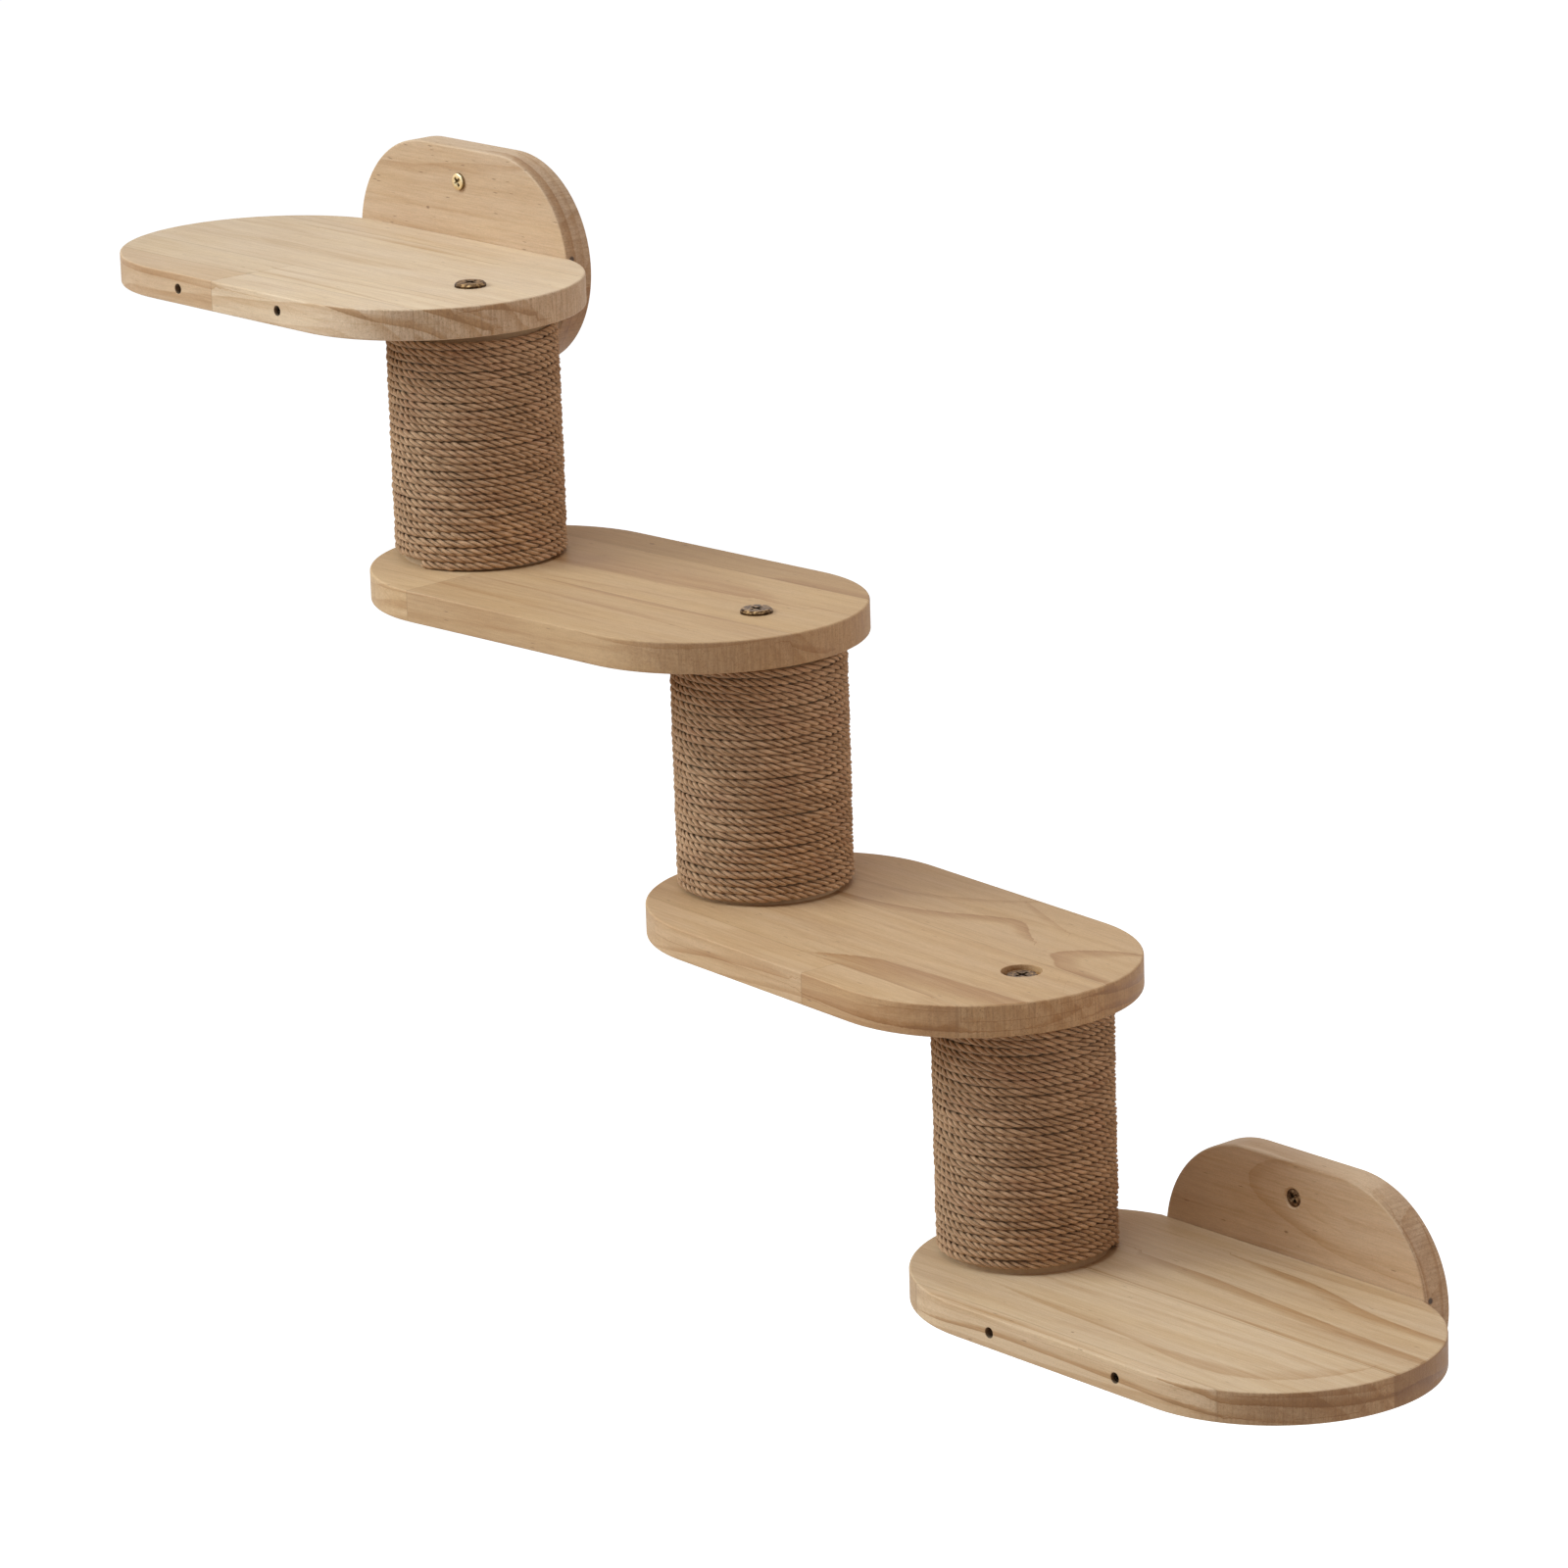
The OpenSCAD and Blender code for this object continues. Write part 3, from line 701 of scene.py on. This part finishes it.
# The same on the rims: a point is (distance round the rim from the middle of the front edge, height, width)
RIM_LINES = {
    "step_1": [
        [(90, 8.5, 2), (117, 2.7, 5), (145, -2.2, 6), (160, -8, 4)],
        [(148, 9, 3), (160, 4.5, 6), (175, -1, 7), (185, -5.5, 6)],
        [(186, 6, 4), (200, 4, 5), (216, -2, 4)],
        [(-150, 5, 1), (-90, 5, 6), (-14, 4, 8)],
        [(165, 9, 2), (177, 5.2, 4), (184, 1.5, 4)],
    ],
    "step_2": [
        [(192, 2, 2), (202, -3, 5), (214, -6, 4)],
        [],
        [],
        [(-110, 6, 1), (-60, 8, 3), (-20, 9, 1)],
        [(60, 8, 1), (120, 5, 4), (180, 8, 1)],
    ],
    "step_3": [
        [(36, -2.5, 1), (92, -4.5, 5), (143, -5.5, 5)],
        [(226, 4.3, 4), (250, 1.5, 5), (288, -2, 4)],
        [(226, -4.4, 4), (250, -6.5, 4), (280, -8.3, 2)],
        [(-105, -8, 1), (-48, -1.2, 5), (2, 2, 5), (28, 3, 1)],
        [(187, -5.5, 3), (202, -2.5, 7), (214, 1.5, 7)],
        [(-40, -8.5, 1), (20, -5, 4), (50, -4, 1)],
    ],
    "step_4": [
        [(-105, -4.5, 1), (-48, -0.8, 4), (2, -0.8, 4), (77, -2.5, 4), (117, -6, 2)],
        [(77, 8, 1), (102, 5.5, 4), (117, 1.8, 4), (140, 1.8, 6), (177, -0.8, 6), (211, -2, 4)],
        [(275, -6, 2), (250, -1.5, 5), (228, 1, 7), (212, -0.5, 7)],
        [(119, -5, 3), (135, -6.5, 4), (160, -8, 1)],
        [(125, 6, 1), (160, 6, 4), (200, 4, 3)],
        [(255, 8.5, 1), (268, 4, 2), (288, 2.5, 2)],
    ],
    "upper_wall_plate": [
        [(95, 1.5, 5), (131, 2.0, 7), (180, 2.4, 7), (240, 3.0, 6)],
        [],
        [],
        [(100, -3, 1), (150, -4, 5), (235, -4, 1)],
    ],
    "lower_wall_plate": [
        [(190, 7.5, 1), (165, 7.2, 2), (140, 7.0, 2.5), (125, 6.8, 2)],
        [(120, -4.0, 2), (139, -4.2, 3), (150, -4.8, 3), (165, -5.5, 2), (180, -6.5, 1)],
    ],
}

# How finely a growth line is followed, its least width, the value where there is none, and how many of a
# board's lines are stored together
LINE_STEP = 2.0
LEAST_LINE_WIDTH = 0.3
NO_LINE = -10.0
LINES_PER_FIELD = 3

# A board's mesh is cut along a grid, and its rim at this share of its half height. The mouths of its bores
# and the edges of its flat back are sanded round.
GRID = 6
RIM_CUT_SHARE = 1 / 3
ARRIS = 0.8
ARRIS_SEGMENTS = 2
SANDED_ANGLE = 60
BOARD_SMOOTH_ANGLE = 35
FLAT_ANGLE = 0.05
MERGE_DISTANCE = 1e-6

# A face belongs to a board's rim where its normal leans this far from the board's faces
RIM_SLOPE = 0.7

# Each stave and each board starts its noise at another place
STAVE_SEED = 37.0
BOARD_SEED = 113.0

# The field that holds each kind of attribute's value
FIELDS = {"FLOAT": "value", "FLOAT_VECTOR": "vector", "FLOAT_COLOR": "color"}


def store(mesh, name, kind, domain, values):
    """Stores an attribute on a mesh."""
    mesh.attributes.new(name, kind, domain)
    flat_values = np.array(values, np.float32).ravel()
    mesh.attributes[name].data.foreach_set(FIELDS[kind], flat_values)


def smooth(bm, angle):
    """Smooths a mesh, apart from its edges from that angle on."""
    for face in bm.faces:
        face.smooth = True
    for edge in bm.edges:
        edge.smooth = len(edge.link_faces) == 2 and edge.calc_face_angle() < math.radians(angle)


def closed_mesh(name, verts, faces, smooth_angle):
    """A mesh whose faces look outward, smooth up to that angle."""
    mesh = bpy.data.meshes.new(name)
    mesh.from_pydata(verts, [], faces)
    bm = bmesh.new()
    bm.from_mesh(mesh)
    bmesh.ops.recalc_face_normals(bm, faces=bm.faces)
    smooth(bm, smooth_angle)
    bm.to_mesh(mesh)
    bm.free()
    return mesh


def bands(rings):
    """The faces between rings of points, each closed on itself."""
    faces = []
    for upper, lower in zip(rings, rings[1:]):
        for k in range(len(upper)):
            n = (k + 1) % len(upper)
            faces.append((upper[k], upper[n], lower[n], lower[k]))
    return faces


def hand_over(mesh, node, material):
    """Puts a mesh in the place of its CAD node."""
    mesh.materials.append(material)
    piece = bpy.data.objects.new(mesh.name, mesh)
    bpy.context.collection.objects.link(piece)
    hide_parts(node)
    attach(piece, "root")
    return piece


def line_field(line, at):
    """How far points lie to the left of a growth line, in widths of the line; below 0 on its right."""
    # A smooth curve through the line's points, in short straight parts
    points = np.array(line, float)
    last = len(points) - 1
    curve = []
    for i in range(last):
        before, here, there, after = (points[min(max(k, 0), last)] for k in (i - 1, i, i + 1, i + 2))
        parts = max(int(np.linalg.norm(there[:2] - here[:2]) / LINE_STEP), 1)
        for k in range(parts):
            t = k / parts
            curve.append(0.5 * (2 * here + (there - before) * t
                                + (2 * before - 5 * here + 4 * there - after) * t ** 2
                                + (3 * here - before - 3 * there + after) * t ** 3))
    curve = np.array(curve + [points[last]])

    # The part that is nearest to each place, and the side of it on which the place lies
    start, span = curve[:-1], curve[1:] - curve[:-1]
    away = at[:, None, :] - start[None, :, :2]
    share = np.clip((away * span[:, :2]).sum(2) / (span[:, :2] ** 2).sum(1), 0, 1)
    nearest = away - share[..., None] * span[None, :, :2]
    distance = np.hypot(nearest[..., 0], nearest[..., 1])
    best = distance.argmin(1)
    row = np.arange(len(at))
    side = np.sign(span[best, 0] * away[row, best, 1] - span[best, 1] * away[row, best, 0])
    width = np.maximum(start[best, 2] + share[row, best] * span[best, 2], LEAST_LINE_WIDTH)
    return np.clip(distance[row, best] * side / width, NO_LINE, -NO_LINE)


def board_frame(node):
    """The matrix from a board's own axes (along, across, outward) to the row frame."""
    turn = Matrix.Rotation(math.radians(90), 3, "X")
    if node in STEPS:
        angle = 0.0
        if node not in WALL_STEPS:
            number = STEPS.index(node)
            start, end = (middle_of(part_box(POSTS[k] + "_tube")) for k in (number - 1, number))
            angle = math.atan2(end.y - start.y, end.x - start.x)
        turn = Matrix.Rotation(angle, 3, "Z")
    return Matrix.Translation(middle_of(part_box(node))) @ turn.to_4x4()


def cut(bm, axis, where, holds=None):
    """Cuts faces square to a board's axis, where it says: all, or those whose middle holds() takes."""
    geometry = list(bm.verts) + list(bm.edges) + list(bm.faces)
    if holds is not None:
        faces = [f for f in bm.faces if holds(f.calc_center_median())]
        edges = {e for f in faces for e in f.edges}
        verts = {v for f in faces for v in f.verts}
        geometry = list(verts) + list(edges) + faces
    normal = Vector(axis)
    bmesh.ops.bisect_plane(bm, geom=geometry, plane_co=normal * where * MM, plane_no=normal)


def board_mesh(node, to_row):
    """A board's CAD mesh in its own axes, sanded and cut at its glue lines and along a grid."""
    bm = bmesh.new()
    bm.from_mesh(frame["nodes"][node].data)
    bmesh.ops.remove_doubles(bm, verts=bm.verts, dist=MERGE_DISTANCE)
    bmesh.ops.transform(bm, matrix=to_row.inverted(), verts=bm.verts)
    bmesh.ops.dissolve_limit(bm, angle_limit=math.radians(FLAT_ANGLE), verts=bm.verts, edges=bm.edges)
    sanded = [e for e in bm.edges if e.is_convex and e.calc_face_angle() > math.radians(SANDED_ANGLE)]
    bmesh.ops.bevel(bm, geom=sanded, offset=ARRIS * MM, segments=ARRIS_SEGMENTS, profile=0.5,
                    affect="EDGES", clamp_overlap=False)
    half_size = [max(v.co[k] for v in bm.verts) / MM for k in range(3)]
    for edge in sorted({s.low for s in STAVES[node] if s.low > -FAR_OUT}):
        cut(bm, Y_AXIS, edge)
    for s in STAVES[node]:
        if s.left > -FAR_OUT:
            cut(bm, X_AXIS, s.left, lambda p, s=s: s.low <= p.y / MM < s.high)
    for half, axis in zip(half_size, (X_AXIS, Y_AXIS)):
        for k in range(int(-half / GRID), int(half / GRID) + 1):
            cut(bm, axis, k * GRID)
    for side in (1, -1):
        cut(bm, Z_AXIS, side * half_size[2] * RIM_CUT_SHARE)
    bm.normal_update()
    smooth(bm, BOARD_SMOOTH_ANGLE)
    mesh = bpy.data.meshes.new(node + "_wood")
    bm.to_mesh(mesh)
    bm.free()
    return mesh, half_size


def round_the_rim(x, y, half_straight, radius):
    """Distance round a board's rim from the middle of its front edge, positive to the right."""
    if x > half_straight:
        return half_straight + radius * (math.atan2(y, x - half_straight) + math.pi / 2)
    if x < -half_straight:
        turn = (-math.pi / 2 - math.atan2(y, x + half_straight)) % (2 * math.pi)
        return -half_straight - radius * turn
    if y < 0:
        return x
    return half_straight + radius * math.pi + half_straight - x


def tone_of(node, stave, centre, normal, half_length):
    """The tone of a face, from its board, its stave and its place, with painted shade inside the edge bores
    and under the step.
    """
    x, y, z = centre
    on_rim = abs(normal.z) < RIM_SLOPE
    tone = np.array(BOARD_TONES[node]) * stave.tone
    if on_rim:
        tone = tone * stave.rim
    if node == STEPS[0]:
        first, last = STEP_1_DRIFT
        tone = tone * (first + (last - first) * (x / half_length + 1) / 2)
    # Painted shade inside the long edge bores of the wall steps
    in_bore = math.hypot(abs(x) - BORE_PLACE, z) < BORE_REACH and abs(normal.y) < BORE_SLOPE
    if node in WALL_STEPS and in_bore:
        tone = tone * BORE_SHADE
    # Painted shade on the foot of a plate's rim, under the step
    if node in PLATES and on_rim and y < PLATE_FOOT:
        tone = tone * PLATE_FOOT_SHADE
    return tone


def make_board(node, material):
    """A board made from its CAD node, with the grain of each stave stored on it."""
    to_row = board_frame(node)
    mesh, half_size = board_mesh(node, to_row)
    radius = half_size[1]
    half_straight = half_size[0] - radius
    places = [vertex.co / MM for vertex in mesh.vertices]
    logs = []
    leans = []
    tones = []
    gains = []
    joint = np.zeros(len(mesh.loops))
    corners = np.zeros((len(mesh.loops), 2))
    on_rim = np.zeros(len(mesh.loops), bool)
    for face in mesh.polygons:
        centre = face.center / MM
        number = next((k for k, s in enumerate(STAVES[node]) if s.holds(centre.x, centre.y)), 0)
        stave = STAVES[node][number]
        seed = STAVE_SEED * number + BOARD_SEED * (STEPS + PLATES).index(node)
        is_rim = abs(face.normal.z) < RIM_SLOPE
        logs.append((*stave.log, seed))
        leans.append((*stave.lean, stave.spacing))
        tones.append((*tone_of(node, stave, centre, face.normal, half_size[0]), FLECKS[node]))
        gains.append(LINE_GAINS[node][is_rim])
        for k in face.loop_indices:
            x, y, z = places[mesh.loops[k].vertex_index]
            joint[k] = stave.to_joint(x, y)
            on_rim[k] = is_rim
            if is_rim:
                corners[k] = (round_the_rim(x, y, half_straight, radius), z)
            else:
                corners[k] = (x if face.normal.z > 0 else -x, y)
    lines = np.full((len(mesh.loops), 2 * LINES_PER_FIELD), NO_LINE)
    for drawn, where in ((FACE_LINES[node], ~on_rim), (RIM_LINES[node], on_rim)):
        for k, line in enumerate(drawn):
            if line:
                lines[where, k] = line_field(line, corners[where])
    faces = len(mesh.polygons)
    gap_shade = GAP_SHADE_ON_PLATE if node in PLATES else NO_GAP_SHADE
    store(mesh, "board_at", "FLOAT_VECTOR", "POINT", places)
    store(mesh, "log_at", "FLOAT_VECTOR", "FACE", logs)
    store(mesh, "log_lean", "FLOAT_VECTOR", "FACE", leans)
    store(mesh, "knot_at", "FLOAT_VECTOR", "FACE", [KNOTS[node]] * faces)
    store(mesh, "gap_shade_at", "FLOAT_VECTOR", "FACE", [gap_shade] * faces)
    store(mesh, "tone", "FLOAT_COLOR", "FACE", tones)
    store(mesh, "line_gain", "FLOAT", "FACE", gains)
    store(mesh, "joint", "FLOAT", "CORNER", joint)
    store(mesh, "line_a", "FLOAT_VECTOR", "CORNER", lines[:, :LINES_PER_FIELD])
    store(mesh, "line_b", "FLOAT_VECTOR", "CORNER", lines[:, LINES_PER_FIELD:])
    mesh.transform(to_row)
    piece = hand_over(mesh, node, material)
    piece.modifiers.new("weighted_normals", "WEIGHTED_NORMAL").keep_sharp = True


# The wound cord

def waves(along, phases, parts):
    """A sum of sine waves along the cord, each as (height, length, number of its phase)."""
    return sum(height * math.sin(along / length + phases[number]) for height, length, number in parts)


def winding(post):
    """The middle, radius, foot and head of the cord's middle line, and its angle at the foot."""
    low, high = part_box(post + "_rope")
    inset = CORD_DIAMETER / 2 * MM
    radius = (high[0] - low[0]) / 2 - inset
    start = math.radians(CORD_FOOT_ANGLES[POSTS.index(post)])
    return middle_of((low, high)), radius, low[2] + inset, high[2] - inset, start


def make_cord(post):
    """One unbroken three-strand cord, wound up the post from its foot."""
    dice = random.Random(post)
    phases = [dice.uniform(0, 2 * math.pi) for k in range(PHASES)]
    post_middle, radius, foot, head, start = winding(post)
    length = 2 * math.pi * radius / MM * CORD_TURNS
    reach = math.radians(STRAND_REACH)
    verts = []
    fibre = []
    depth = []
    for i in range(CORD_RINGS + 1):
        share = i / CORD_RINGS
        along = length * share
        angle = start + 2 * math.pi * CORD_TURNS * share
        outward = Vector((math.cos(angle), math.sin(angle), 0))
        stray = (waves(along, phases, IN_OUT_WAVES) - PULLED_IN) * MM
        middle = post_middle + outward * (radius + stray)
        middle.z = foot + (head - foot) * share + waves(along, phases, UP_DOWN_WAVES) * MM
        twist = 2 * math.pi * along / CORD_LAY + waves(along, phases, TWIST_WAVES)
        for s in range(STRANDS):
            lobe = twist + 2 * math.pi * s / STRANDS
            ripple = RIPPLE_HEIGHT * math.sin(along / RIPPLE_LENGTH + RIPPLE_LAG * s)
            strand_radius = STRAND_RADIUS * (1 + ripple + waves(along, phases[s:], SWELL_WAVES))
            offset = STRAND_OFFSET * (1 + waves(along, phases[s:], OFFSET_WAVES))
            for k in range(POINTS_PER_STRAND):
                around = reach * (2 * k / (POINTS_PER_STRAND - 1) - 1)
                out = offset * math.sin(lobe) + strand_radius * math.sin(lobe - around)
                rise = offset * math.cos(lobe) + strand_radius * math.cos(lobe - around)
                verts.append(middle + outward * out * MM + Vector((0, 0, rise * CORD_SQUASH * MM)))
                yarn = around - along * FIBRE_SLANT
                fibre.append((math.cos(yarn) + LANE * s, math.sin(yarn), along))
                # How deep a point lies between the strands, which sets the jute's painted shade; less so
                # where the groove faces out
                groove = (math.hypot(out, rise) - GROOVE_REACH) / (CORD_DIAMETER / 2 - GROOVE_REACH)
                groove += OPEN_GROOVE * max(out, 0) / GROOVE_REACH * (1 - groove)
                depth.append(min(max(groove, 0), 1))
    sides = STRANDS * POINTS_PER_STRAND
    rings = [range(i, i + sides) for i in range(0, len(verts), sides)]
    faces = bands(rings) + [tuple(rings[0]), tuple(rings[-1])]
    mesh = closed_mesh(post + "_cord", verts, faces, ALL_SMOOTH)
    store(mesh, "fibre_at", "FLOAT_VECTOR", "POINT", fibre)
    store(mesh, "cord_depth", "FLOAT", "POINT", depth)
    hand_over(mesh, post + "_rope", JUTE)


# The wall screws

def circle(radius, sides):
    """The points of a circle."""
    turns = [2 * math.pi * k / sides for k in range(sides)]
    return [(radius * math.cos(turn), radius * math.sin(turn)) for turn in turns]


def cross_outline(scale):
    """The corners of a cross, anticlockwise, turned as the screws' recesses are."""
    span = CROSS_SPAN / 2 * scale
    width = CROSS_WIDTH / 2 * scale
    corners = []
    for quarter in range(4):
        turn = math.radians(CROSS_TURN + 90 * quarter)
        for u, v in ((span, -width), (span, width), (width, width)):
            corners.append((u * math.cos(turn) - v * math.sin(turn),
                            u * math.sin(turn) + v * math.cos(turn)))
    return corners


def fill(outlines, names):
    """Triangles that fill an outline, less the second outline if there is one."""
    loops = [[Vector((u, v, 0)) for u, v in outline] for outline in outlines]
    return [tuple(names[k] for k in triangle) for triangle in tessellate_polygon(loops)]


def head_and_shank(profile, shank_end, add):
    """The head with its cross recess, its underside and the plain shank, down to the thread."""
    front = circle(profile[0][0], HEAD_SIDES)
    rings = [add(circle(radius, HEAD_SIDES), depth) for radius, depth in profile]
    rings.append(add(circle(SHANK_RADIUS, HEAD_SIDES), shank_end))
    mouth_shape = cross_outline(1.0)
    floor_shape = cross_outline(CROSS_FLOOR)
    mouth = add(mouth_shape, 0.0)
    floor = add(floor_shape, CROSS_DEPTH)
    faces = bands(rings) + bands([mouth, floor]) + [tuple(rings[-1])]
    return faces + fill([front, mouth_shape], rings[0] + mouth) + fill([floor_shape], floor)


def thread_and_point(start, end, add):
    """A cut thread from the back of the plate to the point, as one closed skin."""
    rings = []
    count = int((end - start) / THREAD_PITCH * RINGS_PER_PITCH)
    for i in range(count + 1):
        depth = start + (end - start) * i / count
        taper = min(1.0, (end - depth) / POINT_LENGTH + POINT_BLUNTNESS)
        ring = []
        for k, (u, v) in enumerate(circle(taper, THREAD_SIDES)):
            phase = (depth / THREAD_PITCH - k / THREAD_SIDES) % 1.0
            ridge = max(0.0, 1 - abs(phase - 0.5) / RIDGE_SHARE)
            radius = CORE_RADIUS + (THREAD_RADIUS - CORE_RADIUS) * ridge
            ring.append((radius * u, radius * v))
        rings.append(add(ring, depth))
    return bands(rings) + [tuple(rings[0]), tuple(rings[-1])]


def make_wall_screws(plate, node, profile, material):
    """A plate's two wall screws, with cross recesses in their heads and cut threads behind the plate."""
    low, high = (Vector(corner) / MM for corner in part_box(node))
    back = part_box(plate)[1][1] / MM - low.y
    head_radius = (high.x - low.x) / 2
    x = low.x + head_radius
    verts = []
    faces = []
    for z in (low.z + head_radius, high.z - head_radius):
        def add(shape, depth, z=z):
            first = len(verts)
            verts.extend(((x + u) * MM, (low.y + depth) * MM, (z + v) * MM) for u, v in shape)
            return list(range(first, len(verts)))
        faces += head_and_shank(profile, back + THREAD_OVERLAP, add)
        faces += thread_and_point(back, high.y - low.y, add)
    mesh = closed_mesh(node + "_cut", verts, faces, SCREW_SMOOTH_ANGLE)
    hand_over(mesh, node, material)


for name in STEPS:
    make_board(name, PINE)
for name in PLATES:
    make_board(name, PINE_PLATE)
for name in POSTS:
    make_cord(name)
make_wall_screws("upper_wall_plate", "upper_wall_screws", PAN_HEAD, BRASS)
make_wall_screws("lower_wall_plate", "lower_wall_screws", FLAT_HEAD, SCREW_BRONZE)

# Materials of the pieces that stay as the CAD model has them
FINISH = {
    "antique_bronze": BRONZE,
    "dark_steel": DARK_STEEL,
    "zinc_steel": ZINC,
    "tube_cardboard": CARDBOARD,
    "plug_wood": PLUG_WOOD,
}
for part in frame["record"]["subparts"]:
    if part["material_slot"] in FINISH:
        materials = frame["nodes"][part["node"]].data.materials
        materials.clear()
        materials.append(FINISH[part["material_slot"]])


# Camera, background and lamps

def place_camera():
    """The camera at the photograph's place and angle."""
    yaw, pitch, roll = (math.radians(angle) for angle in (CAMERA_YAW, CAMERA_PITCH, CAMERA_ROLL))
    forward = Vector((-math.sin(yaw) * math.cos(pitch), math.cos(yaw) * math.cos(pitch), -math.sin(pitch)))
    level = Vector((math.cos(yaw), math.sin(yaw), 0))
    upward = level.cross(forward)
    right = level * math.cos(roll) + upward * math.sin(roll)
    up = upward * math.cos(roll) - level * math.sin(roll)
    lens = bpy.data.cameras.new("camera")
    lens.sensor_fit = "HORIZONTAL"
    lens.sensor_width = SENSOR_WIDTH
    lens.lens = SENSOR_WIDTH * FOCAL_PIXELS / PHOTO_SIZE
    lens.clip_end = CAMERA_FAR
    camera = bpy.data.objects.new("camera", lens)
    turn = Matrix((right, up, -forward)).transposed()
    camera.matrix_world = Matrix.Translation(CAMERA_PLACE) @ turn.to_4x4()
    bpy.context.collection.objects.link(camera)
    bpy.context.scene.camera = camera


def seen_rays(tree):
    """1 for camera, glossy and transmission rays, which see the white background."""
    path = tree.nodes.new("ShaderNodeLightPath")
    total = path.outputs["Is Camera Ray"]
    for name in ("Is Glossy Ray", "Is Transmission Ray"):
        node = tree.nodes.new("ShaderNodeMath")
        node.operation = "MAXIMUM"
        tree.links.new(total, node.inputs[0])
        tree.links.new(path.outputs[name], node.inputs[1])
        total = node.outputs[0]
    return total


def light_world():
    """A white background that lights the object with a soft fill."""
    world = bpy.data.worlds.new("studio")
    world.use_nodes = True
    tree = world.node_tree
    tree.nodes.clear()
    output = tree.nodes.new("ShaderNodeOutputWorld")
    blend = tree.nodes.new("ShaderNodeMixShader")
    fill_light = tree.nodes.new("ShaderNodeBackground")
    fill_light.inputs["Color"].default_value = (*FILL_COLOUR, 1)
    fill_light.inputs["Strength"].default_value = FILL_STRENGTH
    white = tree.nodes.new("ShaderNodeBackground")
    white.inputs["Color"].default_value = (1, 1, 1, 1)
    tree.links.new(seen_rays(tree), blend.inputs[0])
    tree.links.new(fill_light.outputs[0], blend.inputs[1])
    tree.links.new(white.outputs[0], blend.inputs[2])
    tree.links.new(blend.outputs[0], output.inputs[0])
    bpy.context.scene.world = world


def lay_floor():
    """A plain white floor, well below the stair."""
    material = bpy.data.materials.new("white_floor")
    material.use_nodes = True
    shader = material.node_tree.nodes["Principled BSDF"]
    shader.inputs["Base Color"].default_value = (*FLOOR_COLOUR, 1)
    shader.inputs["Roughness"].default_value = 1.0
    shader.inputs["Specular IOR Level"].default_value = 0.0
    shader.inputs["Emission Color"].default_value = (*FLOOR_GLOW, 1)
    glow = seen_rays(material.node_tree)
    material.node_tree.links.new(glow, shader.inputs["Emission Strength"])
    reach = FLOOR_HALF_WIDTH
    corners = [(-reach, -reach), (reach, -reach), (reach, reach), (-reach, reach)]
    mesh = bpy.data.meshes.new("floor")
    mesh.from_pydata([(x, y, FLOOR_HEIGHT) for x, y in corners], [], [(0, 1, 2, 3)])
    mesh.materials.append(material)
    floor = bpy.data.objects.new("floor", mesh)
    bpy.context.collection.objects.link(floor)


def add_lamp(name, azimuth, elevation, distance, size, power, colour):
    """A round area lamp that looks at the middle of the stair."""
    a = math.radians(azimuth)
    e = math.radians(elevation)
    away = Vector((math.cos(a) * math.cos(e), math.sin(a) * math.cos(e), math.sin(e)))
    data = bpy.data.lights.new(name, "AREA")
    data.shape = "DISK"
    data.size = size
    data.energy = power
    data.color = colour
    lamp = bpy.data.objects.new(name, data)
    lamp.location = middle_of(cad_bounds) + away * distance
    lamp.rotation_euler = (-away).to_track_quat("-Z", "Y").to_euler()
    bpy.context.collection.objects.link(lamp)


place_camera()
light_world()
lay_floor()
add_lamp("key", azimuth=-130, elevation=32, distance=4.0, size=2.4, power=114, colour=(0.86, 0.97, 1.0))
add_lamp("top", azimuth=-60, elevation=78, distance=3.5, size=2.4, power=55, colour=(0.72, 0.89, 1.0))
add_lamp("front", azimuth=-50, elevation=20, distance=4.0, size=2.6, power=5, colour=(1.0, 0.93, 0.75))
add_lamp("side", azimuth=45, elevation=8, distance=3.5, size=1.6, power=22, colour=(1.0, 0.9, 0.78))

bpy.context.scene.view_settings.view_transform = "Standard"
